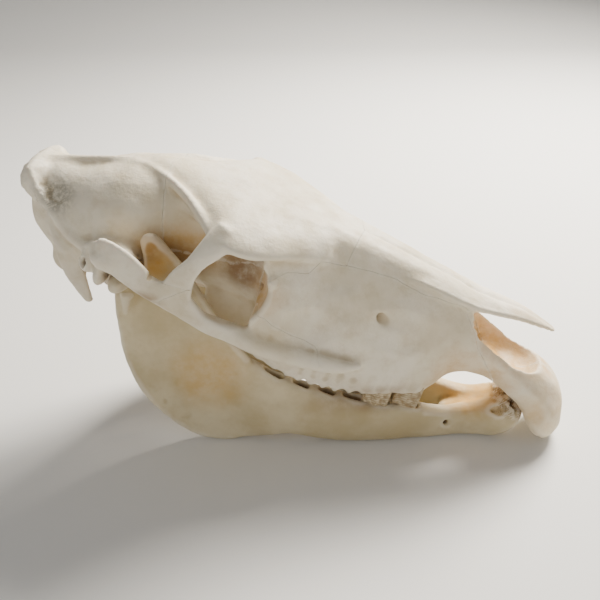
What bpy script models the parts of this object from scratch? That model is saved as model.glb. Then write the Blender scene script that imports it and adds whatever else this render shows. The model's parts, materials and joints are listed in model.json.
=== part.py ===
"""Zebra skull, life size: the cranium resting on its lower jaw, divided at the sutures between its bones.

Lengths are in millimetres until a mesh is made, and meshes are in metres. The cranium is shaped in its
own frame, with the alveolar line of the upper cheek teeth as its x axis (nose towards +x, crown towards
+z), and is then tipped nose down onto the jaw. The lower jaw is shaped where it lies, on the floor z = 0.
Pieces are modelled for the left side (+y) and mirrored.
"""

import math

import bmesh
import bpy
import numpy as np

MM = 0.001
SUTURE_GAP = 0.3
FLOOR_FLAT = 0.6

# The cranium's place on the jaw: the front of the second premolar, and the slope of the palate.
PALATE_SLOPE_DEG = 14.6
PREMOLAR_FRONT = (130.0, 0.0, 62.0)

# Sizes of the finished solids.
CLAY_VOXEL = 2.0
CRANIUM_FACES = 8000
JAW_FACES = 3900
RING_POINTS = 40
BONE_COLOUR = (0.80, 0.76, 0.68, 1.0)
JAW_COLOUR = (0.66, 0.58, 0.44, 1.0)


def clear_scene():
    for obj in list(bpy.data.objects):
        bpy.data.objects.remove(obj, do_unlink=True)


# Curves and rings

class Curve:
    """A smooth curve through (position, value) knots that never overshoots them."""

    def __init__(self, *knots):
        knots = sorted(knots)
        self.x = np.array([k[0] for k in knots], float)
        self.v = np.array([k[1] for k in knots], float)
        step = np.diff(self.x)
        slope = np.diff(self.v) / step
        self.m = np.zeros(len(self.x))
        self.m[0], self.m[-1] = slope[0], slope[-1]
        for i in range(1, len(self.x) - 1):
            if slope[i - 1] * slope[i] > 0:
                self.m[i] = 2 / (1 / slope[i - 1] + 1 / slope[i])

    def __call__(self, at):
        at = np.clip(at, self.x[0], self.x[-1])
        i = np.clip(np.searchsorted(self.x, at) - 1, 0, len(self.x) - 2)
        h = self.x[i + 1] - self.x[i]
        t = (at - self.x[i]) / h
        return (
            (1 + 2 * t) * (1 - t) ** 2 * self.v[i]
            + t * (1 - t) ** 2 * h * self.m[i]
            + t * t * (3 - 2 * t) * self.v[i + 1]
            + t * t * (t - 1) * h * self.m[i + 1]
        )


def through(points, count, closed=False):
    """Count points spread along a smooth line through the given ones."""
    points = np.array(points, float)
    if closed:
        padded = np.vstack([points[-1], points, points[0], points[1]])
    else:
        padded = np.vstack([2 * points[0] - points[1], points, 2 * points[-1] - points[-2]])
    spans = len(padded) - 3
    where = np.linspace(0, spans, count, endpoint=not closed)
    span = np.minimum(where.astype(int), spans - 1)
    t = (where - span)[:, None]
    a, b, c, d = (padded[span + k] for k in range(4))
    return 0.5 * (2 * b + (c - a) * t + (2 * a - 5 * b + 4 * c - d) * t**2 + (3 * b - a - 3 * c + d) * t**3)


def oval(half_width, half_height, power=2.0, count=RING_POINTS):
    """A ring of (across, up) points: an ellipse at power 2, squarer above that."""
    angle = np.linspace(0, 2 * math.pi, count, endpoint=False)
    c, s = np.cos(angle), np.sin(angle)
    across = np.sign(c) * np.abs(c) ** (2 / power) * half_width
    up = np.sign(s) * np.abs(s) ** (2 / power) * half_height
    return np.stack([across, up], axis=1)


# Clay: closed raw shapes that are later fused

def skin_of(rings):
    """A closed mesh through rings of points, with its two ends filled."""
    rings = np.array(rings)
    n_rings, n = rings.shape[:2]
    points = list(rings.reshape(-1, 3)) + [rings[0].mean(0), rings[-1].mean(0)]
    first, last = len(points) - 2, len(points) - 1
    faces = []
    for r in range(n_rings - 1):
        for k in range(n):
            j = (k + 1) % n
            faces.append((r * n + k, r * n + j, (r + 1) * n + j, (r + 1) * n + k))
    for k in range(n):
        j = (k + 1) % n
        faces.append((first, j, k))
        faces.append((last, (n_rings - 1) * n + k, (n_rings - 1) * n + j))
    return np.array(points), faces


class Clay:
    """A heap of closed shapes, in millimetres."""

    def __init__(self):
        self.points, self.faces = [], []

    def add(self, shape, both_sides=False):
        points, faces = shape
        sides = [(points, faces)]
        if both_sides:
            sides.append((points * (1, -1, 1), [tuple(reversed(f)) for f in faces]))
        for side_points, side_faces in sides:
            start = len(self.points)
            self.points.extend(map(tuple, side_points))
            self.faces.extend(tuple(i + start for i in f) for f in side_faces)

    def pair(self, shape):
        self.add(shape, both_sides=True)

    def into_object(self, name):
        mesh = bpy.data.meshes.new(name)
        mesh.from_pydata([tuple(c * MM for c in p) for p in self.points], [], self.faces)
        obj = bpy.data.objects.new(name, mesh)
        bpy.context.scene.collection.objects.link(obj)
        edit = bmesh.new()
        edit.from_mesh(mesh)
        bmesh.ops.recalc_face_normals(edit, faces=edit.faces)
        edit.to_mesh(mesh)
        edit.free()
        return obj


def ball(centre, radii, lean_deg=0.0, about="Y"):
    """An ellipsoid, leaning about the named axis."""
    rings = []
    for lift in np.linspace(-0.5 * math.pi + 0.12, 0.5 * math.pi - 0.12, 14):
        ring = oval(radii[0] * math.cos(lift), radii[1] * math.cos(lift), count=24)
        rings.append(np.column_stack([ring, np.full(len(ring), radii[2] * math.sin(lift))]))
    points, faces = skin_of(rings)
    c, s = math.cos(math.radians(lean_deg)), math.sin(math.radians(lean_deg))
    turn = {
        "X": [[1, 0, 0], [0, c, -s], [0, s, c]],
        "Y": [[c, 0, s], [0, 1, 0], [-s, 0, c]],
        "Z": [[c, -s, 0], [s, c, 0], [0, 0, 1]],
    }[about]
    return points @ np.array(turn).T + centre, faces


def sweep(stations, up=(0, 0, 1), power=2.0, steps_per_span=5):
    """A bar along a smooth line through (x, y, z, half thickness, half height) stations, with round ends.

    The height lies along up as far as the line allows, and the thickness across it.
    """
    line = through(stations, (len(stations) - 1) * steps_per_span + 1)
    tangent = np.gradient(line[:, :3], axis=0)
    tangent /= np.linalg.norm(tangent, axis=1)[:, None]
    across = np.cross(np.array(up, float), tangent)
    across /= np.linalg.norm(across, axis=1)[:, None]
    rise = np.cross(tangent, across)

    def ring_at(i, shrink, shift):
        half_thick, half_high = np.maximum(line[i, 3:5], 0.4) * shrink
        ring = oval(half_thick, half_high, power, 20)
        centre = line[i, :3] + tangent[i] * shift
        return centre + ring[:, :1] * across[i] + ring[:, 1:] * rise[i]

    end = len(line) - 1
    start_cap, end_cap = (0.6 * min(line[i, 3:5]) for i in (0, end))
    rings = [ring_at(0, 0.5, -start_cap)]
    rings += [ring_at(i, 1.0, 0.0) for i in range(len(line))]
    rings.append(ring_at(end, 0.5, end_cap))
    return skin_of(rings)


def loft_along_x(low, high, section, steps):
    """A closed form whose (y, z) ring at each x comes from section(x)."""
    rings = []
    for x in np.linspace(low, high, steps):
        ring = section(x)
        rings.append(np.column_stack([np.full(len(ring), x), ring]))
    return skin_of(rings)


def half_section(points, count=RING_POINTS):
    """A symmetric ring through half-section points that run from the top midline to the bottom midline."""
    points = np.array(points, float)
    other = points[1:-1][::-1] * (-1, 1)
    return through(np.vstack([points, other]), count, closed=True)


# Fusing and finishing

def evaluated_copy(obj, name):
    """A new object with obj's evaluated mesh, in obj's place."""
    graph = bpy.context.evaluated_depsgraph_get()
    mesh = bpy.data.meshes.new_from_object(obj.evaluated_get(graph))
    made = bpy.data.objects.new(name, mesh)
    bpy.context.scene.collection.objects.link(made)
    bpy.data.objects.remove(obj, do_unlink=True)
    return made


def fused(obj, voxel=CLAY_VOXEL):
    """The overlapping shapes of obj as one closed skin."""
    remesh = obj.modifiers.new("fuse", "REMESH")
    remesh.mode = "VOXEL"
    remesh.voxel_size = voxel * MM
    return evaluated_copy(obj, obj.name)


def boolean(obj, tool, operation):
    modifier = obj.modifiers.new(operation.lower(), "BOOLEAN")
    modifier.operation = operation
    modifier.solver = "MANIFOLD"
    modifier.object = tool
    result = evaluated_copy(obj, obj.name)
    bpy.data.objects.remove(tool, do_unlink=True)
    return result


def edge_pairs(mesh):
    pairs = np.empty(len(mesh.edges) * 2, np.int64)
    mesh.edges.foreach_get("vertices", pairs)
    return pairs.reshape(-1, 2)


def neighbour_mean(points, pairs):
    total = np.zeros_like(points)
    count = np.bincount(pairs.ravel(), minlength=len(points))[:, None]
    for axis in range(3):
        total[:, axis] += np.bincount(pairs[:, 0], points[pairs[:, 1], axis], len(points))
        total[:, axis] += np.bincount(pairs[:, 1], points[pairs[:, 0], axis], len(points))
    return total / np.maximum(count, 1)


def vertex_normals(mesh):
    normals = np.empty(len(mesh.vertices) * 3)
    mesh.vertex_normals.foreach_get("vector", normals)
    return normals.reshape(-1, 3)


def read_points(mesh):
    points = np.empty(len(mesh.vertices) * 3)
    mesh.vertices.foreach_get("co", points)
    return points.reshape(-1, 3)


def write_points(mesh, points):
    mesh.vertices.foreach_set("co", points.astype(np.float32).ravel())
    mesh.update()


def soften(obj, fill_rounds, smooth_rounds):
    """Fills the creases where shapes meet, as bone does, then evens the whole skin without shrinking it."""
    mesh = obj.data
    pairs = edge_pairs(mesh)
    points = read_points(mesh)
    for _ in range(fill_rounds):
        normals = vertex_normals(mesh)
        pull = neighbour_mean(points, pairs) - points
        outward = (pull * normals).sum(axis=1, keepdims=True)
        points = points + 0.7 * np.where(outward > 0, pull, 0.12 * pull)
        write_points(mesh, points)
    for _ in range(smooth_rounds):
        points = points + 0.5 * (neighbour_mean(points, pairs) - points)
        points = points - 0.52 * (neighbour_mean(points, pairs) - points)
        write_points(mesh, points)
    return obj


def largest_body(obj):
    """Drops every closed surface of obj but the largest."""
    edit = bmesh.new()
    edit.from_mesh(obj.data)
    unseen = set(edit.verts)
    bodies = []
    while unseen:
        body, front = set(), [unseen.pop()]
        while front:
            vert = front.pop()
            body.add(vert)
            for edge in vert.link_edges:
                other = edge.other_vert(vert)
                if other in unseen:
                    unseen.discard(other)
                    front.append(other)
        bodies.append(body)
    bodies.sort(key=len)
    scraps = [vert for body in bodies[:-1] for vert in body]
    bmesh.ops.delete(edit, geom=scraps, context="VERTS")
    edit.to_mesh(obj.data)
    edit.free()
    return obj


def block(low, high):
    rings = []
    for z in (low[2], high[2]):
        rings.append([(low[0], low[1], z), (high[0], low[1], z), (high[0], high[1], z), (low[0], high[1], z)])
    return skin_of(rings)


def mirrored(obj):
    """The left half of obj joined to its mirror image."""
    left_side = Clay()
    left_side.add(block((-600, 0, -300), (600, 300, 600)))
    half = boolean(obj, left_side.into_object("left_side"), "INTERSECT")
    other = half.copy()
    other.data = half.data.copy()
    bpy.context.scene.collection.objects.link(other)
    write_points(other.data, read_points(other.data) * (1, -1, 1))
    other.data.flip_normals()
    return boolean(half, other, "UNION")


def reduced(obj, faces):
    """Fewer triangles, kept small where the form turns sharply."""
    whole = sum(len(polygon.vertices) - 2 for polygon in obj.data.polygons)
    triangles = obj.modifiers.new("triangles", "TRIANGULATE")
    triangles.quad_method = "BEAUTY"
    decimate = obj.modifiers.new("reduce", "DECIMATE")
    decimate.ratio = min(1.0, faces / whole)
    return evaluated_copy(obj, obj.name)


# Cranium: named sizes along its x axis

CROWN = Curve((-392, 118), (-385, 121), (-365, 127), (-340, 135), (-303, 145), (-260, 148), (-216, 148),
              (-180, 145), (-140, 140), (-100, 132), (-63, 123), (-23, 113), (5, 105), (18, 101.5),
              (57, 97), (83, 89.5), (97, 84))
FACE_TOP = Curve((-172, 143), (-140, 139), (-100, 131), (-63, 122), (-23, 112), (5, 101), (14, 95), (22, 86),
                 (35, 75), (52, 65), (69, 56), (85, 50), (100, 44), (115, 35), (128, 21), (137, 3), (141, -9))
FACE_ROOF_HALF = Curve((-172, 62), (-150, 52), (-120, 38), (-60, 28), (-23, 24), (14, 21), (40, 21), (70, 20),
                       (100, 21), (128, 17), (137, 10), (141, 3))
FACE_MID_HALF = Curve((-172, 77), (-150, 72), (-120, 58), (-80, 49), (-40, 41), (0, 32), (14, 29), (40, 28.5),
                      (70, 28.5), (100, 30.5), (115, 30.5), (128, 26), (137, 15), (141, 4))
CHEEK_HALF = Curve((-172, 82), (-150, 78), (-120, 68), (-90, 60), (-60, 52), (-30, 45), (0, 36), (14, 29),
                   (35, 27), (60, 26), (85, 29), (100, 31), (115, 31.5), (128, 27), (137, 16), (141, 4))
CHEEK_UP = Curve((-172, 46), (-120, 36), (-60, 30), (0, 32), (14, 42), (40, 42), (70, 30), (100, 12), (120, -6),
                 (141, -12))
ALVEOLUS_HALF = Curve((-172, 44), (-160, 50), (-145, 56), (-120, 58), (-90, 57), (-60, 53), (-30, 46), (-5, 38),
                      (6, 29), (20, 22), (35, 20.5), (60, 21), (85, 26), (100, 30), (115, 30.5), (128, 26),
                      (137, 14), (141, 4))
ALVEOLUS_UP = Curve((-172, 26), (-162, 8), (-150, -3), (-120, -9), (-90, -11), (-60, -9), (-30, -3), (-5, 0),
                    (5, 7), (14, 17), (32, 24), (46, 24), (64, 18), (85, 5), (100, -10), (115, -24), (128, -29.5),
                    (137, -24), (141, -14))
PALATE_UP = Curve((-172, 34), (-150, 14), (-120, 11), (-60, 12), (-5, 16), (14, 25), (32, 31), (46, 30), (64, 25),
                  (85, 15), (100, 2), (115, -16), (128, -26), (137, -22), (141, -14))
MUZZLE_TURN = Curve((-172, 0), (60, 0), (90, 4), (110, 7), (128, 8), (141, 4))
FOREHEAD_HALF = Curve((-120, 42), (-150, 64), (-172, 80), (-195, 88), (-208, 85), (-220, 70), (-234, 53),
                      (-250, 38), (-270, 26), (-290, 18))


def face_section(x):
    """Muzzle and cheek: a flat roof, sides that spread to the cheek, and a hollowed palate."""
    top, roof, mid = FACE_TOP(x), FACE_ROOF_HALF(x), FACE_MID_HALF(x)
    cheek, cheek_up = CHEEK_HALF(x), CHEEK_UP(x)
    rim, rim_up, palate, turn = ALVEOLUS_HALF(x), ALVEOLUS_UP(x), PALATE_UP(x), MUZZLE_TURN(x)
    shoulder = top - 0.12 * (top - rim_up)
    middle = 0.5 * (shoulder + cheek_up)
    return half_section([
        (0, top), (0.6 * roof, top - 1.0), (roof, shoulder), (mid, middle), (cheek, cheek_up),
        (0.5 * (cheek + rim), 0.5 * (cheek_up + rim_up)), (rim, rim_up + 3 + turn), (0.8 * rim, rim_up + 0.3 * turn),
        (0.5 * rim, palate), (0, palate + 1),
    ])


def forehead_section(x):
    """The frontal shelf over both eyes."""
    top, half = CROWN(x), FOREHEAD_HALF(x)
    return half_section([
        (0, top), (0.45 * half, top - 2.0), (0.8 * half, top - 8), (half, top - 20), (0.85 * half, top - 27),
        (0.4 * half, top - 32), (0, top - 33),
    ])


BRAIN_MIDDLE = Curve((-225, 92), (-250, 94), (-275, 92), (-300, 88), (-325, 83), (-350, 78), (-370, 80), (-388, 86))
BRAIN_HALF = Curve((-225, 38), (-250, 40), (-275, 49), (-300, 54), (-325, 53), (-350, 44), (-370, 36), (-388, 27))
BRAIN_TALL = Curve((-225, 54), (-250, 53), (-275, 53), (-300, 54), (-325, 50), (-350, 46), (-370, 42), (-388, 32))


def braincase_section(x):
    return oval(BRAIN_HALF(x), BRAIN_TALL(x), 2.2) + (0, BRAIN_MIDDLE(x))


ORBIT_WALL_HALF = Curve((-265, 36), (-235, 35), (-205, 38), (-180, 45), (-158, 52))
ORBIT_WALL_TALL = Curve((-265, 50), (-235, 51), (-205, 51), (-180, 50), (-158, 46))


def orbit_wall_section(x):
    return oval(ORBIT_WALL_HALF(x), ORBIT_WALL_TALL(x), 2.0) + (0, 86)


# Occiput, by height: its middle along x, its half length and its half width.
OCCIPUT_MIDDLE = Curve((34, -334), (46, -340), (60, -348), (74, -360), (88, -374), (100, -386), (112, -388),
                       (120, -386))
OCCIPUT_LONG = Curve((34, 12), (46, 16), (60, 18), (74, 15), (88, 13), (100, 17), (112, 13), (120, 8))
OCCIPUT_HALF = Curve((34, 38), (46, 48), (60, 50), (74, 41), (88, 33), (100, 33), (112, 31), (120, 25))


def occiput():
    rings = []
    for z in np.linspace(34, 120, 14):
        ring = oval(OCCIPUT_LONG(z), OCCIPUT_HALF(z), 2.4) + (OCCIPUT_MIDDLE(z), 0)
        rings.append(np.column_stack([ring, np.full(len(ring), z)]))
    return skin_of(rings)


NASAL_HALF = Curve((-60, 26), (-20, 24), (14, 21.5), (40, 17), (65, 11.5), (85, 6), (97, 2.5))
NASAL_SUNK = Curve((-60, 5), (-35, 1), (-10, 0), (97, 0))
NASAL_DEEP = Curve((-60, 14), (-20, 14), (14, 11), (40, 9.5), (65, 8), (85, 6), (97, 3.5))


def nasal_section(x):
    """The nasal bones: a curved roof whose edges turn down over the nostrils."""
    top, half, deep = CROWN(x) - NASAL_SUNK(x), NASAL_HALF(x), NASAL_DEEP(x)
    return half_section([
        (0, top), (0.55 * half, top - 0.10 * deep), (half, top - 0.55 * deep), (0.92 * half, top - deep),
        (0.6 * half, top - 0.8 * deep), (0, top - 0.62 * deep),
    ], 28)


ZYGOMATIC_ARCH = [
    (-304, 80, 98, 4, 7), (-296, 84, 94, 5, 13), (-280, 87, 86, 5.5, 15), (-257, 88, 73, 6, 11),
    (-236, 88, 68, 6.5, 13), (-215, 86, 55, 7.5, 9), (-199, 84, 50, 8.5, 8), (-180, 82, 46, 9, 8.5),
    (-159, 79, 39, 9, 9), (-135, 75, 34, 8, 8), (-110, 71, 31, 7, 6.5), (-92, 67, 29, 6, 5.5),
    (-80, 63, 28, 5, 4.5), (-70, 57, 28, 4, 3.5),
]
POSTORBITAL_BAR = [
    (-203, 72, 134, 6, 12), (-213, 81, 122, 6, 10.5), (-222, 87, 106, 5.5, 9.5), (-232, 88.5, 90, 5.5, 10.5),
    (-236, 88, 74, 6, 14),
]
TEMPORAL_CREST = [
    (-300, 82, 98, 4, 5), (-314, 67, 84, 4, 5), (-326, 56, 74, 4, 5), (-342, 48, 76, 4, 5), (-354, 42, 83, 4, 5),
    (-367, 37, 93, 4, 5), (-380, 33, 103, 4, 5), (-387, 28, 113, 4, 5), (-390, 18, 118, 4, 4), (-391, 0, 119, 4, 4),
]
SAGITTAL_CREST = [(-292, 0, 138, 3, 7), (-320, 0, 133, 3, 7), (-350, 0, 124, 3.5, 8), (-385, 0, 115, 4, 7)]
TEMPORAL_LINE = [
    (-214, 76, 126, 3, 4), (-228, 60, 132, 3, 4), (-244, 44, 137, 3, 4), (-264, 28, 141, 3, 4),
    (-286, 13, 141, 3, 4), (-305, 4, 139, 3, 4),
]
PARACONDYLAR = [(-346, 43, 60, 6, 13), (-340, 43, 38, 5, 11), (-332, 40, 18, 4, 8), (-326, 38, 5, 3, 4.5)]
SQUAMOSAL_SHELF = [
    (-300, 40, 80, 24, 18), (-298, 54, 79, 22, 13), (-296, 68, 80, 20, 11), (-292, 79, 85, 18, 11),
    (-288, 86, 88, 12, 11),
]
PTERYGOID_PLATE = [(-140, 25, 26, 4, 18), (-170, 24, 28, 3.5, 21), (-200, 22, 30, 3, 22), (-222, 21, 30, 3, 20)]
HAMULUS = [(-214, 21, 14, 3, 4), (-222, 23, 8, 2.5, 3), (-229, 25, 5, 2, 2.2)]
SKULL_BASE = [(-222, 0, 42, 14, 12), (-262, 0, 39, 15, 12), (-292, 0, 35, 19, 12), (-315, 0, 35, 18, 11),
              (-342, 0, 37, 24, 12)]
EAR_TUBE = [(-310, 44, 58, 10, 10), (-316, 58, 63, 9, 9), (-320, 66, 66, 8.5, 8.5)]

# Upper cheek teeth, front to back: middle along x, middle across, length, width.
UPPER_TEETH = [
    ("P2", -15, 29.5, 27, 19), ("P3", -43, 36.5, 26, 22), ("P4", -70, 41.5, 26, 23), ("M1", -95, 44.5, 23, 23),
    ("M2", -119, 45, 23, 22), ("M3", -143, 43, 24, 19),
]
KEPT_TEETH = ("P2", "P3")
CROWN_BOTTOM = -19.0


def cranium_clay():
    clay = Clay()
    clay.add(loft_along_x(-172, 141, face_section, 64))
    clay.add(loft_along_x(-290, -120, forehead_section, 34))
    clay.add(loft_along_x(-388, -225, braincase_section, 34))
    clay.add(loft_along_x(-265, -158, orbit_wall_section, 20))
    clay.add(loft_along_x(-60, 97, nasal_section, 40))
    clay.add(occiput())
    clay.add(sweep(SAGITTAL_CREST))
    clay.add(sweep(SKULL_BASE))
    for bar in (ZYGOMATIC_ARCH, TEMPORAL_CREST, TEMPORAL_LINE, PTERYGOID_PLATE, HAMULUS, EAR_TUBE):
        clay.pair(sweep(bar))
    clay.pair(sweep(PARACONDYLAR, up=(1, 0, 0)))
    clay.pair(sweep(POSTORBITAL_BAR, up=(1, 0, 0)))
    clay.pair(sweep(SQUAMOSAL_SHELF))
    clay.pair(ball((-351, 21, 41), (17, 13.5, 22), 25))
    clay.pair(ball((-300, 38, 44), (20, 13, 15)))
    clay.pair(ball((-305, 68, 62), (6, 15, 11)))
    clay.pair(ball((-158, 42, 20), (14, 16, 24)))
    return clay


# The nasal passage: half width, floor and roof.
PASSAGE_HALF = Curve((-112, 9), (-80, 19), (-40, 23), (0, 21), (14, 21.5), (40, 24), (70, 24.5), (88, 22), (104, 15))
PASSAGE_FLOOR = Curve((-112, 62), (-80, 36), (-40, 28), (0, 28), (20, 34), (45, 38), (70, 33), (85, 33), (97, 45),
                      (104, 52))
PASSAGE_ROOF = Curve((-112, 96), (-80, 112), (-40, 109), (-10, 102), (14, 95.5), (40, 91.5), (70, 86), (90, 82),
                     (104, 78))


def passage_section(x):
    low, high = PASSAGE_FLOOR(x), PASSAGE_ROOF(x)
    return oval(PASSAGE_HALF(x), 0.5 * (high - low), 2.6) + (0, 0.5 * (high + low))


CHOANA_TOP = Curve((-92, 8), (-110, 28), (-150, 36), (-175, 36))


def choana_section(x):
    high = CHOANA_TOP(x)
    return oval(17, 0.5 * (high + 12), 2.6) + (0, 0.5 * (high - 12))


def cranium_cutters():
    clay = Clay()
    clay.add(loft_along_x(-112, 104, passage_section, 48))
    clay.pair(ball((-192, 80, 86.5), (31, 42, 31)))
    clay.add(sweep([(-388, 0, 54, 14, 14), (-352, 0, 54, 14.5, 14), (-322, 0, 56, 12, 12)]))
    clay.pair(sweep([(-328, 76, 69, 5, 5), (-314, 56, 62, 5, 5)]))
    clay.pair(sweep([(-40, 52, 70, 5, 5.5), (-62, 43, 74, 4.5, 5), (-72, 38, 77, 3, 3)]))
    for name, x, y, long, wide in UPPER_TEETH:
        if name not in KEPT_TEETH:
            clay.pair(socket(x, y, ALVEOLUS_UP(x), long, wide))
    return clay


def socket(x, y, rim, long, wide):
    """An empty tooth socket: a squarish pit that narrows upwards."""
    rings = []
    for lift, share in ((-14, 0.94), (0, 0.92), (8, 0.84), (14, 0.62)):
        ring = oval(0.5 * long * share - 1.6, 0.5 * wide * share - 2.2, 3.2, 28)
        rings.append(np.column_stack([ring + (x, y), np.full(len(ring), rim + lift)]))
    return skin_of(rings)


def tooth(x, y, long, wide, bottom, top):
    """A cheek tooth's crown and root: a block with rounded corners and two grooves down its outer face."""
    rings = []
    for z in np.linspace(bottom, top, 6):
        ring = oval(0.5 * long - 0.5, 0.5 * wide, 4.0, 36)
        outer = np.clip(ring[:, 1] / (0.5 * wide), 0, 1)
        folds = 1.4 * np.cos(ring[:, 0] / long * 4 * math.pi) * outer
        ring[:, 1] += folds
        rings.append(np.column_stack([ring + (x, y), np.full(len(ring), z)]))
    return skin_of(rings)


def tip_onto_jaw(obj):
    """Places the cranium: nose down about the front of its second premolar."""
    obj.rotation_euler = (0, math.radians(PALATE_SLOPE_DEG), 0)
    obj.location = [c * MM for c in PREMOLAR_FRONT]
    return obj


def cranium():
    """The whole cranium with its kept teeth, before it is parted."""
    bone = fused(cranium_clay().into_object("cranium"))
    cuts = fused(cranium_cutters().into_object("cranium_cuts"), 1.2)
    bone = boolean(bone, cuts, "DIFFERENCE")
    bone = soften(fused(largest_body(bone)), 14, 8)
    bone = mirrored(reduced(bone, CRANIUM_FACES))
    teeth = Clay()
    for name, x, y, long, wide in UPPER_TEETH:
        if name in KEPT_TEETH:
            teeth.pair(tooth(x, y, long, wide, CROWN_BOTTOM, ALVEOLUS_UP(x) + 10))
    return boolean(bone, teeth.into_object("teeth"), "UNION")


# Sutures: thin cuts along the seams where the bones meet. Each line is of (x, z) points, given at the
# midline and at a distance to the side.
FRONTAL_MID = [(-96, 170), (-98, 94.5), (-130, 94), (-163, 92), (-200, 86), (-262, 84), (-276, 170)]
FRONTAL_SIDE = [(-118, 230), (-122, 151), (-140, 120), (-166, 104), (-200, 84), (-258, 82), (-250, 170)]
FRONTAL_OUT = 125
NASAL_MID = [(38, 82), (22, 87.5), (6, 88), (-60, 93), (-99, 95)]
NASAL_SIDE = [(38, 88), (22, 98), (6, 110), (-60, 130.5), (-115, 130)]
NASAL_OUT = 75
INCISIVE_MID = [(6, 88.3), (14, 74), (30, 52), (48, 34), (60, 18), (66, -20)]
INCISIVE_SIDE = [(6, 106), (14, 98), (30, 66), (48, 44), (60, 24), (66, -16)]
INCISIVE_OUT = 60
EYE_MID = [(-166, 92.4), (-169, 62)]
EYE_SIDE = [(-176, 102), (-176, 75)]
EYE_OUT = 100
TUBER_MID = [(-168.9, 63), (-170, 50), (-175, 20), (-175, -40)]
TUBER_SIDE = [(-173.5, 71.6), (-172, 52), (-175, 20), (-175, -40)]
TUBER_OUT = 66
MIDLINE = [(150, -45), (150, 150), (-97.2, 150), (-98.8, 95.2), (-130, 94.7), (-163, 92.7), (-166.9, 92.2),
           (-169.7, 62), (-170.7, 50), (-175.7, 20), (-175.7, -45)]
ZYGOMATIC = [(-224, 84.3), (-200, 78), (-176, 72), (-160, 66), (-135, 50), (-112, 42), (-104, 32), (-110, 20),
             (-140, 22), (-170, 30), (-200, 36), (-262, 44), (-264, 52)]

# A point inside each bone, by which the parted pieces are told apart.
BONES = {
    "braincase": (-310, 0, 85), "frontal": (-180, 0, 120),
    "nasal_left": (-20, 10, 100), "maxilla_left": (-80, 40, 50), "incisive_left": (90, 15, 20),
    "zygomatic_left": (-170, 80, 45),
}


def sheet(points, faces):
    """A cutter as thick as a suture, about an open surface."""
    mesh = bpy.data.meshes.new("suture")
    mesh.from_pydata([tuple(c * MM for c in p) for p in points], [], faces)
    obj = bpy.data.objects.new("suture", mesh)
    bpy.context.scene.collection.objects.link(obj)
    solid = obj.modifiers.new("thick", "SOLIDIFY")
    solid.thickness = SUTURE_GAP * MM
    solid.offset = 0
    return evaluated_copy(obj, "suture")


def seam_across(mid, side, out):
    """A cut from one side of the skull to the other, over the midline."""
    points, faces = [], []
    for (mid_x, mid_z), (side_x, side_z) in zip(mid, side):
        points += [(side_x, -out, side_z), (mid_x, 0, mid_z), (side_x, out, side_z)]
    for i in range(0, len(points) - 3, 3):
        for k in (i, i + 1):
            faces += [(k, k + 1, k + 4), (k, k + 4, k + 3)]
    return sheet(points, faces)


def seam_midline():
    points = [(x, 0, z) for x, z in MIDLINE]
    return sheet(points, [tuple(range(len(points)))])


def seam_round_zygomatic(side):
    """A cup-shaped cut that frees the cheek bone from the face and from the rear of the arch."""
    n = len(ZYGOMATIC)
    centre = np.mean(ZYGOMATIC, axis=0)
    deep = [(x, side * (56 - 0.1 * (x + 104)), z) for x, z in ZYGOMATIC]
    points = [(x, side * 125, z) for x, z in ZYGOMATIC] + deep
    points.append((centre[0], side * (56 - 0.1 * (centre[0] + 104)), centre[1]))
    faces = []
    for k in range(n):
        j = (k + 1) % n
        faces += [(k, j, n + j), (k, n + j, n + k), (n + k, n + j, 2 * n)]
    return sheet(points, faces)


def loose_pieces(obj, smallest):
    """The closed surfaces of obj with at least the given number of vertices, each as an object."""
    edit = bmesh.new()
    edit.from_mesh(obj.data)
    edit.verts.ensure_lookup_table()
    label = np.full(len(edit.verts), -1)
    pieces = []
    for start in edit.verts:
        if label[start.index] >= 0:
            continue
        label[start.index] = len(pieces)
        body, front = [start], [start]
        while front:
            vert = front.pop()
            for edge in vert.link_edges:
                other = edge.other_vert(vert)
                if label[other.index] < 0:
                    label[other.index] = len(pieces)
                    body.append(other)
                    front.append(other)
        pieces.append(body)
    made = []
    for body in pieces:
        if len(body) < smallest:
            continue
        body.sort(key=lambda vert: vert.index)
        new_index = {vert.index: i for i, vert in enumerate(body)}
        faces = {face for vert in body for face in vert.link_faces}
        faces = sorted(faces, key=lambda face: face.index)
        mesh = bpy.data.meshes.new("piece")
        mesh.from_pydata([tuple(vert.co) for vert in body], [],
                         [[new_index[vert.index] for vert in face.verts] for face in faces])
        piece = bpy.data.objects.new("piece", mesh)
        bpy.context.scene.collection.objects.link(piece)
        made.append(piece)
    edit.free()
    bpy.data.objects.remove(obj, do_unlink=True)
    return made


def part_at_sutures(whole):
    for cutter in (
        seam_across(FRONTAL_MID, FRONTAL_SIDE, FRONTAL_OUT), seam_across(NASAL_MID, NASAL_SIDE, NASAL_OUT),
        seam_across(INCISIVE_MID, INCISIVE_SIDE, INCISIVE_OUT), seam_across(EYE_MID, EYE_SIDE, EYE_OUT),
        seam_across(TUBER_MID, TUBER_SIDE, TUBER_OUT),
        seam_midline(), seam_round_zygomatic(1), seam_round_zygomatic(-1),
    ):
        whole = boolean(whole, cutter, "DIFFERENCE")
    seeds = dict(BONES)
    for name, (x, y, z) in BONES.items():
        if name.endswith("_left"):
            seeds[name.replace("_left", "_right")] = (x, -y, z)
    pieces = sorted(loose_pieces(whole, 60), key=lambda piece: -len(piece.data.vertices))
    bones = {}
    for piece in pieces:
        centre = read_points(piece.data).mean(axis=0) / MM
        name = min(seeds, key=lambda key: np.linalg.norm(centre - seeds[key]))
        if name in bones:
            bpy.data.objects.remove(piece, do_unlink=True)
            continue
        piece.name = piece.data.name = name
        bones[name] = piece
    return list(bones.values())


# Lower jaw, in the resting frame

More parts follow.
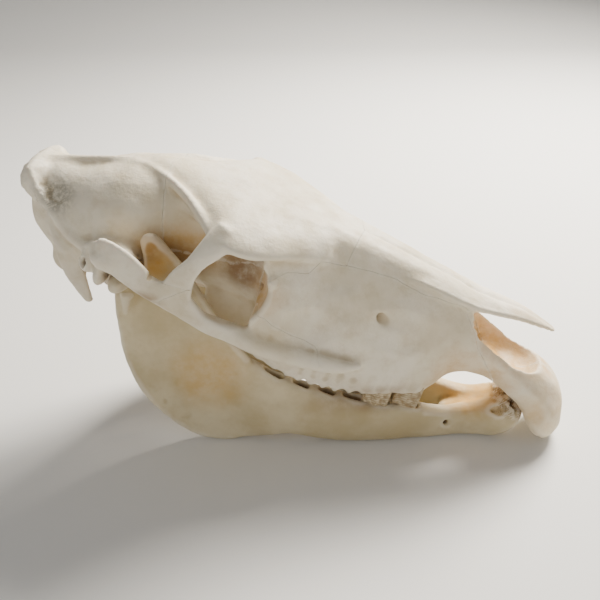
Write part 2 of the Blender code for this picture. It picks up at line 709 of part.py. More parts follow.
JAW_TOP = Curve((-40, 104), (-22, 91), (0, 77), (30, 64), (60, 54), (100, 45), (120, 42), (133, 38), (150, 34),
                (171, 33), (193, 37), (206, 43), (216, 40), (224, 32))
JAW_BOTTOM = Curve((-40, 1), (-20, 6), (0, 9), (20, 6), (60, 0), (190, 0), (205, 4), (216, 12), (224, 25))
JAW_MIDDLE = Curve((-40, 49), (-20, 46.5), (20, 42), (60, 37), (100, 31), (130, 25), (150, 20), (168, 14),
                   (185, 12), (205, 13), (218, 12), (224, 9))
JAW_HALF = Curve((-40, 9), (-20, 11), (20, 12.5), (60, 12.5), (100, 11), (130, 9), (150, 9), (168, 11), (185, 13),
                 (205, 15), (218, 13), (224, 8))
RAMUS_EDGE = [
    (-24, 88), (-41, 104), (-54, 128), (-68, 158), (-81, 188), (-90, 214), (-99, 229), (-107, 232), (-113, 226),
    (-113, 212), (-115, 200), (-123, 194), (-136, 192), (-141, 180), (-144, 158), (-146, 134), (-145, 108),
    (-141, 80), (-132, 55), (-118, 33), (-98, 12), (-76, 1.5), (-50, 0.5), (-28, 5), (-10, 9), (4, 40), (0, 66),
]


def jaw_body_section(x):
    low, high = JAW_BOTTOM(x), JAW_TOP(x)
    ring = oval(JAW_HALF(x), 0.5 * (high - low), 2.8)
    return ring + (JAW_MIDDLE(x), 0.5 * (high + low))


def ramus_across(x, z):
    """How far the ramus lies from the midline: it leans out towards the joint and the angle."""
    return 49 - 0.10 * (x + 40) + 0.022 * (z - 60)


def ramus():
    edge = through(RAMUS_EDGE, 110, closed=True)
    centre = edge.mean(0)
    rings = []
    for side, share in ((-1, 0.90), (-1, 1.0), (1, 1.0), (1, 0.90)):
        outline = centre + (edge - centre) * (0.985 if share < 1 else 1.0)
        depth = side * (4.6 if share < 1 else 2.6)
        across = np.array([ramus_across(x, z) + depth for x, z in outline])
        rings.append(np.column_stack([outline[:, 0], across, outline[:, 1]]))
    return skin_of(rings)


ANGLE_RIM = [(-141, 178, 4, 5), (-143, 156, 4.5, 5), (-144, 130, 5, 5.5), (-143, 105, 5.5, 6), (-138, 78, 6, 6.5),
             (-128, 54, 6.5, 7), (-113, 33, 7, 7), (-94, 15, 7, 7), (-74, 7.2, 7, 7), (-50, 7.0, 7, 6.8),
             (-26, 10, 7, 6)]
CORONOID_RIM = [(-37, 98, 6, 5), (-51, 124, 5, 5), (-65, 156, 4, 4.5), (-78, 188, 3.5, 4), (-91, 214, 3, 3.5),
                (-104, 228, 3, 3)]
CONDYLE = [(-131, 51, 190, 6, 5), (-132, 56, 191, 9, 7.5), (-133, 65, 192, 10, 8), (-133, 77, 192.5, 9, 7.5),
           (-133, 85, 193, 6, 5.5)]


def rim_bar(stations):
    return sweep([(x, ramus_across(x, z), z, thick, deep) for x, z, thick, deep in stations], up=(0, 1, 0.001))


def jaw_clay():
    clay = Clay()
    clay.pair(loft_along_x(-40, 224, jaw_body_section, 60))
    clay.pair(ramus())
    clay.pair(rim_bar(ANGLE_RIM))
    clay.pair(rim_bar(CORONOID_RIM))
    clay.pair(sweep(CONDYLE))
    clay.pair(sweep([(-130, 64, 180, 8, 12), (-134, 62, 166, 6, 9), (-138, 60, 150, 5, 6)], up=(0, 1, 0)))
    clay.add(sweep([(150, 0, 14, 12, 8), (168, 0, 16, 14, 12), (190, 0, 19, 14, 14), (206, 0, 24, 15, 15),
                    (217, 0, 28, 12, 8)]))
    return clay


# Lower cheek-tooth sockets follow the jaw's top: middle along x, length.
LOWER_SOCKETS = [(115, 27), (88, 25), (62, 25), (38, 23), (14, 23), (-11, 26)]


def jaw_cutters():
    clay = Clay()
    for x, long in LOWER_SOCKETS:
        clay.pair(socket_down(x, JAW_MIDDLE(x) - 1, JAW_TOP(x), long, 14))
    for x, y, z in ((222, 7, 40), (216, 17, 42), (205, 24, 40)):
        clay.pair(sweep([(x + 8, y * 1.15, z + 4, 4, 4), (x - 6, y * 0.95, z - 6, 3.5, 3.5)]))
    clay.pair(sweep([(156, 36, 20, 3.4, 3.4), (150, 22, 20, 2.6, 2.6)]))
    return clay


def socket_down(x, y, rim, long, wide):
    points, faces = socket(0, 0, 0, long, wide)
    points = points * (1, 1, -1) + (x, y, rim)
    return points, [tuple(reversed(f)) for f in faces]


def lower_jaw():
    """The jaw, let down by the depth of its resting flats and planed off at the floor."""
    bone = fused(jaw_clay().into_object("mandible"))
    cuts = fused(jaw_cutters().into_object("jaw_cuts"), 1.2)
    bone = boolean(bone, cuts, "DIFFERENCE")
    bone = soften(fused(largest_body(bone)), 10, 8)
    bone = mirrored(reduced(bone, JAW_FACES))
    points = read_points(bone.data)
    points[:, 2] -= points[:, 2].min() + FLOOR_FLAT * MM
    write_points(bone.data, points)
    below = Clay()
    below.add(block((-300, -200, -50), (300, 200, 0)))
    return boolean(bone, below.into_object("floor_cut"), "DIFFERENCE")


def finish(obj, colour):
    material = bpy.data.materials.new(obj.name + "_bone")
    material.use_nodes = True
    shader = material.node_tree.nodes["Principled BSDF"]
    shader.inputs["Base Color"].default_value = colour
    shader.inputs["Roughness"].default_value = 0.6
    obj.data.materials.clear()
    obj.data.materials.append(material)
    return obj


def settle(parts):
    """Moves everything so that the origin lies under the middle of the whole, on the floor."""
    bpy.context.view_layer.update()
    corners = np.array([obj.matrix_world @ vert.co for obj in parts for vert in obj.data.vertices])
    middle = 0.5 * (corners.min(axis=0) + corners.max(axis=0))
    for obj in parts:
        obj.location.x -= middle[0]
        obj.location.y -= middle[1]


def main():
    clear_scene()
    bones = [tip_onto_jaw(finish(bone, BONE_COLOUR)) for bone in part_at_sutures(cranium())]
    jaw = finish(lower_jaw(), JAW_COLOUR)
    jaw.name = "mandible"
    settle(bones + [jaw])


main()
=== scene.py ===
"""Zebra skull, life size: the bleached cranium of a zebra resting on its lower jaw.

Shapes are given in millimetres until a mesh is made. The cranium is shaped in its own frame, with the line
of its upper cheek teeth as the x axis, and is then tipped nose down onto the jaw.
"""

import json
import math

import bmesh
import bpy
import numpy as np
from bpy.props import FloatProperty, FloatVectorProperty, PointerProperty
from mathutils import Matrix, Vector, noise
from mathutils.bvhtree import BVHTree

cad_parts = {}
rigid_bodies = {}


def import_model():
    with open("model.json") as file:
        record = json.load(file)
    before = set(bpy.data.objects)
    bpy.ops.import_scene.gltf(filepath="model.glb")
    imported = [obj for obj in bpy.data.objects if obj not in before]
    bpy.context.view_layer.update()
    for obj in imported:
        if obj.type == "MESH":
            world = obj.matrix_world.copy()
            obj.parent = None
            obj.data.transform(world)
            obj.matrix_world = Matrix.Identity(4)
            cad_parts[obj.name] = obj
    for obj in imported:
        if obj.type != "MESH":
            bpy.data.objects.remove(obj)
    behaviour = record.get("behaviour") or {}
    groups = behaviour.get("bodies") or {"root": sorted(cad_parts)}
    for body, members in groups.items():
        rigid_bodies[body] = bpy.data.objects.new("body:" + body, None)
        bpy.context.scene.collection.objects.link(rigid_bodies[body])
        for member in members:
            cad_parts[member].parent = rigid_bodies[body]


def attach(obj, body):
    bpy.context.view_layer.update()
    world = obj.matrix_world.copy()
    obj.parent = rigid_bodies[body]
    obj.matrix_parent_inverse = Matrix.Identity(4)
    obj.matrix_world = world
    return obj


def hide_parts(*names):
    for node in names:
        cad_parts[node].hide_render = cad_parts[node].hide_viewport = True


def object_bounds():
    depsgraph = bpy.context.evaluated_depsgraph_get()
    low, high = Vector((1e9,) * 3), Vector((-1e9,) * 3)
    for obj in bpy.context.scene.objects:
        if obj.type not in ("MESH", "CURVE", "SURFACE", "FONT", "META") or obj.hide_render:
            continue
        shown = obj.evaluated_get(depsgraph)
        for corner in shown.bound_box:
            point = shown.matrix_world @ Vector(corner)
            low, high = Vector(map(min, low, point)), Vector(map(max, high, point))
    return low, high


bl_info = {
    "name": "Zebra Skull",
    "version": (1, 0, 0),
    "blender": (4, 5, 0),
    "location": "View3D > Sidebar > Zebra Skull",
    "description": "Models a weathered zebra skull on its lower jaw, with its floor, lights and camera",
    "category": "Add Mesh",
}

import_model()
CAD_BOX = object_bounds()

MM = 0.001
# How far the middle of the whole skull's box lies ahead of the shaping frame's origin.
BOX_MIDDLE_X = 15.09
PALATE_SLOPE_DEG = 14.6
PREMOLAR_FRONT = (130.0, 0.0, 62.0)
CLAY_VOXEL = 2.0
CUTTER_VOXEL = 0.9
SHARP_EDGE_DEG = 48
RING_POINTS = 40
SUTURE_EDGE = 3.5
SUTURE_WAVELENGTH = 11
SUTURE_SEED = 7
SMALLEST_BONE_POINTS = 400
QUICK_RAYS, FULL_RAYS = 5, 10
# How far the rays reach that find how hidden each point is, for the painted shade in hollows, in metres.
HOLLOW_SHADE_REACH = 0.045


# Curves and rings

class Curve:
    """A smooth curve through (position, value) knots that never overshoots them."""

    def __init__(self, *knots):
        knots = sorted(knots)
        self.x = np.array([k[0] for k in knots], float)
        self.v = np.array([k[1] for k in knots], float)
        step = np.diff(self.x)
        slope = np.diff(self.v) / step
        self.m = np.zeros(len(self.x))
        self.m[0], self.m[-1] = slope[0], slope[-1]
        for i in range(1, len(self.x) - 1):
            if slope[i - 1] * slope[i] > 0:
                self.m[i] = 2 / (1 / slope[i - 1] + 1 / slope[i])

    def __call__(self, at):
        at = np.clip(at, self.x[0], self.x[-1])
        i = np.clip(np.searchsorted(self.x, at) - 1, 0, len(self.x) - 2)
        h = self.x[i + 1] - self.x[i]
        t = (at - self.x[i]) / h
        return (
            (1 + 2 * t) * (1 - t) ** 2 * self.v[i]
            + t * (1 - t) ** 2 * h * self.m[i]
            + t * t * (3 - 2 * t) * self.v[i + 1]
            + t * t * (t - 1) * h * self.m[i + 1]
        )


def through(points, count, closed=False):
    """Count points spread along a smooth line through the given ones."""
    points = np.array(points, float)
    if closed:
        padded = np.vstack([points[-1], points, points[0], points[1]])
    else:
        padded = np.vstack([2 * points[0] - points[1], points, 2 * points[-1] - points[-2]])
    spans = len(padded) - 3
    where = np.linspace(0, spans, count, endpoint=not closed)
    span = np.minimum(where.astype(int), spans - 1)
    t = (where - span)[:, None]
    a, b, c, d = (padded[span + k] for k in range(4))
    return 0.5 * (2 * b + (c - a) * t + (2 * a - 5 * b + 4 * c - d) * t**2 + (3 * b - a - 3 * c + d) * t**3)


def oval(half_width, half_height, power=2.0, count=RING_POINTS):
    """A ring of (across, up) points: an ellipse at power 2, squarer above that."""
    angle = np.linspace(0, 2 * math.pi, count, endpoint=False)
    c, s = np.cos(angle), np.sin(angle)
    across = np.sign(c) * np.abs(c) ** (2 / power) * half_width
    up = np.sign(s) * np.abs(s) ** (2 / power) * half_height
    return np.stack([across, up], axis=1)


# Clay: closed raw shapes that are later fused

def skin_of(rings):
    """A closed mesh through rings of points, with its two ends filled."""
    rings = np.array(rings)
    n_rings, n = rings.shape[:2]
    points = list(rings.reshape(-1, 3)) + [rings[0].mean(0), rings[-1].mean(0)]
    first, last = len(points) - 2, len(points) - 1
    faces = []
    for r in range(n_rings - 1):
        for k in range(n):
            j = (k + 1) % n
            faces.append((r * n + k, r * n + j, (r + 1) * n + j, (r + 1) * n + k))
    for k in range(n):
        j = (k + 1) % n
        faces.append((first, j, k))
        faces.append((last, (n_rings - 1) * n + k, (n_rings - 1) * n + j))
    return np.array(points), faces


class Clay:
    """A heap of closed shapes, in millimetres."""

    def __init__(self):
        self.points, self.faces = [], []

    def add(self, shape, both_sides=False):
        points, faces = shape
        sides = [(points, faces)]
        if both_sides:
            sides.append((points * (1, -1, 1), [tuple(reversed(f)) for f in faces]))
        for side_points, side_faces in sides:
            start = len(self.points)
            self.points.extend(map(tuple, side_points))
            self.faces.extend(tuple(i + start for i in f) for f in side_faces)

    def pair(self, shape):
        self.add(shape, both_sides=True)

    def take(self, other):
        start = len(self.points)
        self.points += other.points
        self.faces += [tuple(i + start for i in face) for face in other.faces]

    def into_object(self, name):
        mesh = bpy.data.meshes.new(name)
        mesh.from_pydata([tuple(c * MM for c in p) for p in self.points], [], self.faces)
        obj = bpy.data.objects.new(name, mesh)
        bpy.context.scene.collection.objects.link(obj)
        edit = bmesh.new()
        edit.from_mesh(mesh)
        bmesh.ops.recalc_face_normals(edit, faces=edit.faces)
        edit.to_mesh(mesh)
        edit.free()
        return obj


def ball(centre, radii, lean_deg=0.0):
    """An ellipsoid, leaning about the axis that runs across the skull."""
    rings = []
    for lift in np.linspace(-0.5 * math.pi + 0.12, 0.5 * math.pi - 0.12, 14):
        ring = oval(radii[0] * math.cos(lift), radii[1] * math.cos(lift), count=24)
        rings.append(np.column_stack([ring, np.full(len(ring), radii[2] * math.sin(lift))]))
    points, faces = skin_of(rings)
    c, s = math.cos(math.radians(lean_deg)), math.sin(math.radians(lean_deg))
    turn = np.array([[c, 0, s], [0, 1, 0], [-s, 0, c]])
    return points @ turn.T + centre, faces


def sweep(stations, up=(0, 0, 1), power=2.0, steps_per_span=5):
    """A bar along a smooth line through (x, y, z, half thickness, half height) stations, with round ends.

    The height lies along up as far as the line allows, and the thickness across it.
    """
    line = through(stations, (len(stations) - 1) * steps_per_span + 1)
    tangent = np.gradient(line[:, :3], axis=0)
    tangent /= np.linalg.norm(tangent, axis=1)[:, None]
    across = np.cross(np.array(up, float), tangent)
    across /= np.linalg.norm(across, axis=1)[:, None]
    rise = np.cross(tangent, across)

    def ring_at(i, shrink, shift):
        half_thick, half_high = np.maximum(line[i, 3:5], 0.4) * shrink
        ring = oval(half_thick, half_high, power, 20)
        centre = line[i, :3] + tangent[i] * shift
        return centre + ring[:, :1] * across[i] + ring[:, 1:] * rise[i]

    end = len(line) - 1
    start_cap, end_cap = (0.6 * min(line[i, 3:5]) for i in (0, end))
    rings = [ring_at(0, 0.5, -start_cap)]
    rings += [ring_at(i, 1.0, 0.0) for i in range(len(line))]
    rings.append(ring_at(end, 0.5, end_cap))
    return skin_of(rings)


def loft_along_x(low, high, section, steps):
    """A closed form whose (y, z) ring at each x comes from section(x)."""
    rings = []
    for x in np.linspace(low, high, steps):
        ring = section(x)
        rings.append(np.column_stack([np.full(len(ring), x), ring]))
    return skin_of(rings)


def half_section(points, count=RING_POINTS):
    """A symmetric ring through half-section points that run from the top midline to the bottom midline."""
    points = np.array(points, float)
    other = points[1:-1][::-1] * (-1, 1)
    return through(np.vstack([points, other]), count, closed=True)


# Fusing and finishing

def evaluated_copy(obj, name):
    """A new object with obj's evaluated mesh, in obj's place."""
    graph = bpy.context.evaluated_depsgraph_get()
    mesh = bpy.data.meshes.new_from_object(obj.evaluated_get(graph))
    made = bpy.data.objects.new(name, mesh)
    bpy.context.scene.collection.objects.link(made)
    bpy.data.objects.remove(obj, do_unlink=True)
    return made


def fused(obj, voxel=CLAY_VOXEL):
    """The overlapping shapes of obj as one closed skin."""
    remesh = obj.modifiers.new("fuse", "REMESH")
    remesh.mode = "VOXEL"
    remesh.voxel_size = voxel * MM
    return evaluated_copy(obj, obj.name)


def boolean(obj, tool, operation):
    modifier = obj.modifiers.new(operation.lower(), "BOOLEAN")
    modifier.operation = operation
    modifier.solver = "MANIFOLD"
    modifier.object = tool
    result = evaluated_copy(obj, obj.name)
    bpy.data.objects.remove(tool, do_unlink=True)
    return result


def edge_pairs(mesh):
    pairs = np.empty(len(mesh.edges) * 2, np.int64)
    mesh.edges.foreach_get("vertices", pairs)
    return pairs.reshape(-1, 2)


def neighbour_mean(points, pairs):
    total = np.zeros_like(points)
    count = np.bincount(pairs.ravel(), minlength=len(points))[:, None]
    for column in range(points.shape[1]):
        total[:, column] += np.bincount(pairs[:, 0], points[pairs[:, 1], column], len(points))
        total[:, column] += np.bincount(pairs[:, 1], points[pairs[:, 0], column], len(points))
    return total / np.maximum(count, 1)


def vertex_normals(mesh):
    normals = np.empty(len(mesh.vertices) * 3)
    mesh.vertex_normals.foreach_get("vector", normals)
    return normals.reshape(-1, 3)


def read_points(mesh):
    points = np.empty(len(mesh.vertices) * 3)
    mesh.vertices.foreach_get("co", points)
    return points.reshape(-1, 3)


def write_points(mesh, points):
    mesh.vertices.foreach_set("co", points.astype(np.float32).ravel())
    mesh.update()


def soften(obj, fill_rounds, smooth_rounds):
    """Fills the creases where shapes meet, as bone does, then evens the whole skin without shrinking it."""
    mesh = obj.data
    pairs = edge_pairs(mesh)
    points = read_points(mesh)
    for _ in range(fill_rounds):
        normals = vertex_normals(mesh)
        pull = neighbour_mean(points, pairs) - points
        outward = (pull * normals).sum(axis=1, keepdims=True)
        points = points + 0.7 * np.where(outward > 0, pull, 0.12 * pull)
        write_points(mesh, points)
    for _ in range(smooth_rounds):
        points = points + 0.5 * (neighbour_mean(points, pairs) - points)
        points = points - 0.52 * (neighbour_mean(points, pairs) - points)
        write_points(mesh, points)
    return obj


def bodies_of(edit):
    """The closed surfaces of an edit mesh, each as a list of its vertices."""
    edit.verts.ensure_lookup_table()
    seen = np.zeros(len(edit.verts), bool)
    bodies = []
    for start in edit.verts:
        if seen[start.index]:
            continue
        seen[start.index] = True
        body, front = [start], [start]
        while front:
            vert = front.pop()
            for edge in vert.link_edges:
                other = edge.other_vert(vert)
                if not seen[other.index]:
                    seen[other.index] = True
                    body.append(other)
                    front.append(other)
        bodies.append(body)
    return bodies


def largest_body(obj):
    """Drops every closed surface of obj but the largest."""
    edit = bmesh.new()
    edit.from_mesh(obj.data)
    scraps = [vert for body in sorted(bodies_of(edit), key=len)[:-1] for vert in body]
    bmesh.ops.delete(edit, geom=scraps, context="VERTS")
    edit.to_mesh(obj.data)
    edit.free()
    return obj


# Cranium: named sizes along its x axis

CROWN = Curve((-392, 118), (-385, 121), (-365, 127), (-340, 135), (-303, 145), (-260, 148), (-216, 148),
              (-180, 145), (-140, 140), (-100, 132), (-63, 123), (-23, 113), (5, 105), (18, 101.5),
              (57, 97), (83, 89.5), (97, 84))
FACE_TOP = Curve((-172, 143), (-140, 139), (-100, 131), (-63, 122), (-23, 112), (5, 101), (14, 95), (22, 86),
                 (35, 75), (52, 65), (69, 56), (85, 50), (100, 44), (115, 35), (128, 21), (137, 3), (141, -9))
FACE_ROOF_HALF = Curve((-172, 62), (-150, 52), (-120, 38), (-60, 28), (-23, 24), (14, 21), (40, 21), (70, 20),
                       (100, 21), (128, 17), (137, 10), (141, 3))
FACE_MID_HALF = Curve((-172, 77), (-150, 72), (-120, 58), (-80, 49), (-40, 41), (0, 32), (14, 29), (40, 28.5),
                      (70, 28.5), (100, 30.5), (115, 30.5), (128, 26), (137, 15), (141, 4))
CHEEK_HALF = Curve((-172, 82), (-150, 78), (-120, 68), (-90, 60), (-60, 52), (-30, 45), (0, 36), (14, 29),
                   (35, 27), (60, 26), (85, 29), (100, 31), (115, 31.5), (128, 27), (137, 16), (141, 4))
CHEEK_UP = Curve(
    (-172, 46), (-120, 36), (-60, 30), (0, 32), (14, 42), (40, 42), (70, 30), (100, 12), (120, -6),
    (141, -12),
)
ALVEOLUS_HALF = Curve(
    (-172, 44), (-160, 50), (-145, 56), (-120, 58), (-90, 57), (-60, 53), (-30, 46), (-5, 38),
    (6, 29), (20, 22), (35, 20.5), (60, 21), (85, 26), (100, 30), (115, 30.5), (128, 26), (137, 14),
    (141, 4),
)
ALVEOLUS_UP = Curve(
    (-172, 26), (-162, 8), (-150, -3), (-120, -9), (-90, -11), (-60, -9), (-30, -3), (-5, 0),
    (5, 7), (14, 17), (32, 24), (46, 24), (64, 18), (85, 5), (100, -10), (115, -24), (128, -29.5),
    (137, -24), (141, -14),
)
PALATE_UP = Curve(
    (-172, 34), (-150, 14), (-120, 11), (-60, 12), (-5, 16), (14, 25), (32, 31), (46, 30), (64, 25),
    (85, 15), (100, 2), (115, -16), (128, -26), (137, -22), (141, -14),
)
MUZZLE_TURN = Curve((-172, 0), (60, 0), (90, 4), (110, 7), (128, 8), (141, 4))
FOREHEAD_HALF = Curve((-120, 42), (-150, 64), (-172, 80), (-195, 88), (-208, 85), (-220, 70), (-234, 53),
                      (-250, 38), (-270, 26), (-290, 18))


def face_section(x):
    """Muzzle and cheek: a flat roof, sides that spread to the cheek, and a hollowed palate."""
    top, roof, mid = FACE_TOP(x), FACE_ROOF_HALF(x), FACE_MID_HALF(x)
    cheek, cheek_up = CHEEK_HALF(x), CHEEK_UP(x)
    rim, rim_up, palate, turn = ALVEOLUS_HALF(x), ALVEOLUS_UP(x), PALATE_UP(x), MUZZLE_TURN(x)
    shoulder = top - 0.12 * (top - rim_up)
    middle = 0.5 * (shoulder + cheek_up)
    return half_section([
        (0, top), (0.6 * roof, top - 1.0), (roof, shoulder), (mid, middle), (cheek, cheek_up),
        (0.5 * (cheek + rim), 0.5 * (cheek_up + rim_up)), (rim, rim_up + 3 + turn),
        (0.8 * rim, rim_up + 0.3 * turn),
        (0.5 * rim, palate), (0, palate + 1),
    ])


def forehead_section(x):
    """The frontal shelf over both eyes."""
    top, half = CROWN(x), FOREHEAD_HALF(x)
    return half_section([
        (0, top), (0.45 * half, top - 2.0), (0.8 * half, top - 8), (half, top - 20), (0.85 * half, top - 27),
        (0.4 * half, top - 32), (0, top - 33),
    ])


BRAIN_MIDDLE = Curve(
    (-225, 92), (-250, 94), (-275, 92), (-300, 88), (-325, 83), (-350, 78), (-370, 80), (-388, 86),
)
BRAIN_HALF = Curve(
    (-225, 38), (-250, 40), (-275, 49), (-300, 54), (-325, 53), (-350, 44), (-370, 36), (-388, 27),
)
BRAIN_TALL = Curve(
    (-225, 54), (-250, 53), (-275, 53), (-300, 54), (-325, 50), (-350, 46), (-370, 42), (-388, 32),
)


def braincase_section(x):
    return oval(BRAIN_HALF(x), BRAIN_TALL(x), 2.2) + (0, BRAIN_MIDDLE(x))


ORBIT_WALL_HALF = Curve((-265, 36), (-235, 35), (-205, 38), (-180, 45), (-158, 52))
ORBIT_WALL_TALL = Curve((-265, 50), (-235, 51), (-205, 51), (-180, 50), (-158, 46))


def orbit_wall_section(x):
    return oval(ORBIT_WALL_HALF(x), ORBIT_WALL_TALL(x), 2.0) + (0, 86)


# Occiput, by height: its middle along x, its half length and its half width.
OCCIPUT_MIDDLE = Curve((34, -334), (46, -340), (60, -348), (74, -360), (88, -374), (100, -386), (112, -388),
                       (120, -386))
OCCIPUT_LONG = Curve((34, 12), (46, 16), (60, 18), (74, 15), (88, 13), (100, 17), (112, 13), (120, 8))
OCCIPUT_HALF = Curve((34, 38), (46, 48), (60, 50), (74, 41), (88, 33), (100, 33), (112, 31), (120, 25))


def occiput():
    rings = []
    for z in np.linspace(34, 120, 14):
        ring = oval(OCCIPUT_LONG(z), OCCIPUT_HALF(z), 2.4) + (OCCIPUT_MIDDLE(z), 0)
        rings.append(np.column_stack([ring, np.full(len(ring), z)]))
    return skin_of(rings)


NASAL_HALF = Curve((-60, 26), (-20, 24), (14, 21.5), (40, 17), (65, 11.5), (85, 6), (97, 2.5))
NASAL_SUNK = Curve((-60, 5), (-35, 1), (-10, 0), (97, 0))
NASAL_DEEP = Curve((-60, 14), (-20, 14), (14, 11), (40, 9.5), (65, 8), (85, 6), (97, 3.5))


def nasal_section(x):
    """The nasal bones: a curved roof whose edges turn down over the nostrils."""
    top, half, deep = CROWN(x) - NASAL_SUNK(x), NASAL_HALF(x), NASAL_DEEP(x)
    return half_section([
        (0, top), (0.55 * half, top - 0.10 * deep), (half, top - 0.55 * deep), (0.92 * half, top - deep),
        (0.6 * half, top - 0.8 * deep), (0, top - 0.62 * deep),
    ], 28)


ZYGOMATIC_ARCH = [
    (-304, 80, 98, 4, 7), (-296, 84, 94, 5, 13), (-280, 87, 86, 5.5, 15), (-257, 88, 73, 6, 11),
    (-236, 88, 68, 6.5, 13), (-215, 86, 55, 7.5, 9), (-199, 84, 50, 8.5, 8), (-180, 82, 46, 9, 8.5),
    (-159, 79, 39, 9, 9), (-135, 75, 34, 8, 8), (-110, 71, 31, 7, 6.5), (-92, 67, 29, 6, 5.5),
    (-80, 63, 28, 5, 4.5), (-70, 57, 28, 4, 3.5),
]
POSTORBITAL_BAR = [
    (-203, 72, 134, 6, 12), (-213, 81, 122, 6, 10.5), (-222, 87, 106, 5.5, 9.5), (-232, 88.5, 90, 5.5, 10.5),
    (-236, 88, 74, 6, 14),
]
TEMPORAL_CREST = [
    (-300, 82, 98, 4, 5), (-314, 67, 84, 4, 5), (-326, 56, 74, 4, 5), (-342, 48, 76, 4, 5),
    (-354, 42, 83, 4, 5), (-367, 37, 93, 4, 5), (-380, 33, 103, 4, 5), (-387, 28, 113, 4, 5),
    (-390, 18, 118, 4, 4), (-391, 0, 119, 4, 4),
]
SAGITTAL_CREST = [(-292, 0, 138, 3, 7), (-320, 0, 133, 3, 7), (-350, 0, 124, 3.5, 8), (-385, 0, 115, 4, 7)]
TEMPORAL_LINE = [
    (-214, 76, 126, 3, 4), (-228, 60, 132, 3, 4), (-244, 44, 137, 3, 4), (-264, 28, 141, 3, 4),
    (-286, 13, 141, 3, 4), (-305, 4, 139, 3, 4),
]
PARACONDYLAR = [(-346, 43, 60, 6, 13), (-340, 43, 38, 5, 11), (-332, 40, 18, 4, 8), (-326, 38, 5, 3, 4.5)]
SQUAMOSAL_SHELF = [
    (-300, 40, 80, 24, 18), (-298, 54, 79, 22, 13), (-296, 68, 80, 20, 11), (-292, 79, 85, 18, 11),
    (-288, 86, 88, 12, 11),
]
PTERYGOID_PLATE = [
    (-140, 25, 26, 4, 18), (-170, 24, 28, 3.5, 21), (-200, 22, 30, 3, 22), (-222, 21, 30, 3, 20),
]
HAMULUS = [(-214, 21, 14, 3, 4), (-222, 23, 8, 2.5, 3), (-229, 25, 5, 2, 2.2)]
SKULL_BASE = [(-222, 0, 42, 14, 12), (-262, 0, 39, 15, 12), (-292, 0, 35, 19, 12), (-315, 0, 35, 18, 11),
              (-342, 0, 37, 24, 12)]
EAR_TUBE = [(-310, 44, 58, 10, 10), (-316, 58, 63, 9, 9), (-320, 66, 66, 8.5, 8.5)]

# Upper cheek teeth, front to back: middle along x, middle across, length, width.
UPPER_TEETH = [
    ("P2", -15, 29.5, 27, 19), ("P3", -43, 36.5, 26, 22), ("P4", -70, 41.5, 26, 23),
    ("M1", -95, 44.5, 23, 23), ("M2", -119, 45, 23, 22), ("M3", -143, 43, 24, 19),
]
KEPT_TEETH = ("P2", "P3")


def cranium_clay():
    clay = Clay()
    clay.add(loft_along_x(-172, 141, face_section, 64))
    clay.add(loft_along_x(-290, -120, forehead_section, 34))
    clay.add(loft_along_x(-388, -225, braincase_section, 34))
    clay.add(loft_along_x(-265, -158, orbit_wall_section, 20))
    clay.add(loft_along_x(-60, 97, nasal_section, 40))
    clay.add(occiput())
    clay.add(sweep(SAGITTAL_CREST))
    clay.add(sweep(SKULL_BASE))
    for bar in (ZYGOMATIC_ARCH, TEMPORAL_CREST, TEMPORAL_LINE, PTERYGOID_PLATE, HAMULUS, EAR_TUBE):
        clay.pair(sweep(bar))
    clay.pair(sweep(PARACONDYLAR, up=(1, 0, 0)))
    clay.pair(sweep(POSTORBITAL_BAR, up=(1, 0, 0)))
    clay.pair(sweep(SQUAMOSAL_SHELF))
    clay.pair(ball((-351, 21, 41), (17, 13.5, 22), 25))
    clay.pair(ball((-300, 38, 44), (20, 13, 15)))
    clay.pair(ball((-305, 68, 62), (6, 15, 11)))
    clay.pair(ball((-158, 42, 20), (14, 16, 24)))
    return clay


# The nasal passage: half width, floor and roof.
PASSAGE_HALF = Curve(
    (-112, 9), (-80, 19), (-40, 23), (0, 21), (14, 21.5), (40, 24), (70, 24.5), (88, 22), (104, 15),
)
PASSAGE_FLOOR = Curve(
    (-112, 62), (-80, 36), (-40, 28), (0, 28), (20, 34), (45, 38), (70, 33), (85, 33), (97, 45),
    (104, 52),
)
PASSAGE_ROOF = Curve(
    (-112, 96), (-80, 112), (-40, 109), (-10, 102), (14, 95.5), (40, 91.5), (70, 86), (90, 82),
    (104, 78),
)


def passage_section(x):
    low, high = PASSAGE_FLOOR(x), PASSAGE_ROOF(x)
    return oval(PASSAGE_HALF(x), 0.5 * (high - low), 2.6) + (0, 0.5 * (high + low))


def cranium_cutters():
    clay = Clay()
    clay.add(loft_along_x(-112, 104, passage_section, 48))
    clay.pair(ball((-192, 80, 86.5), (31, 42, 31)))
    clay.add(sweep([(-388, 0, 54, 14, 14), (-352, 0, 54, 14.5, 14), (-322, 0, 56, 12, 12)]))
    clay.pair(sweep([(-328, 76, 69, 5, 5), (-314, 56, 62, 5, 5)]))
    clay.pair(sweep([(-36, 51, 67, 3, 5.5), (-58, 43, 72, 3.4, 5), (-72, 37, 76, 3, 3)]))
    for name, x, y, long, wide in UPPER_TEETH:
        if name not in KEPT_TEETH:
            clay.pair(socket(x, y, ALVEOLUS_UP(x), long, wide))
    return clay


def socket(x, y, rim, long, wide):
    """An empty tooth socket: a squarish pit that narrows upwards."""
    rings = []
    for lift, share in ((-14, 0.94), (0, 0.92), (8, 0.84), (14, 0.62)):
        ring = oval(0.5 * long * share - 1.6, 0.5 * wide * share - 2.2, 3.2, 28)
        rings.append(np.column_stack([ring + (x, y), np.full(len(ring), rim + lift)]))
    return skin_of(rings)


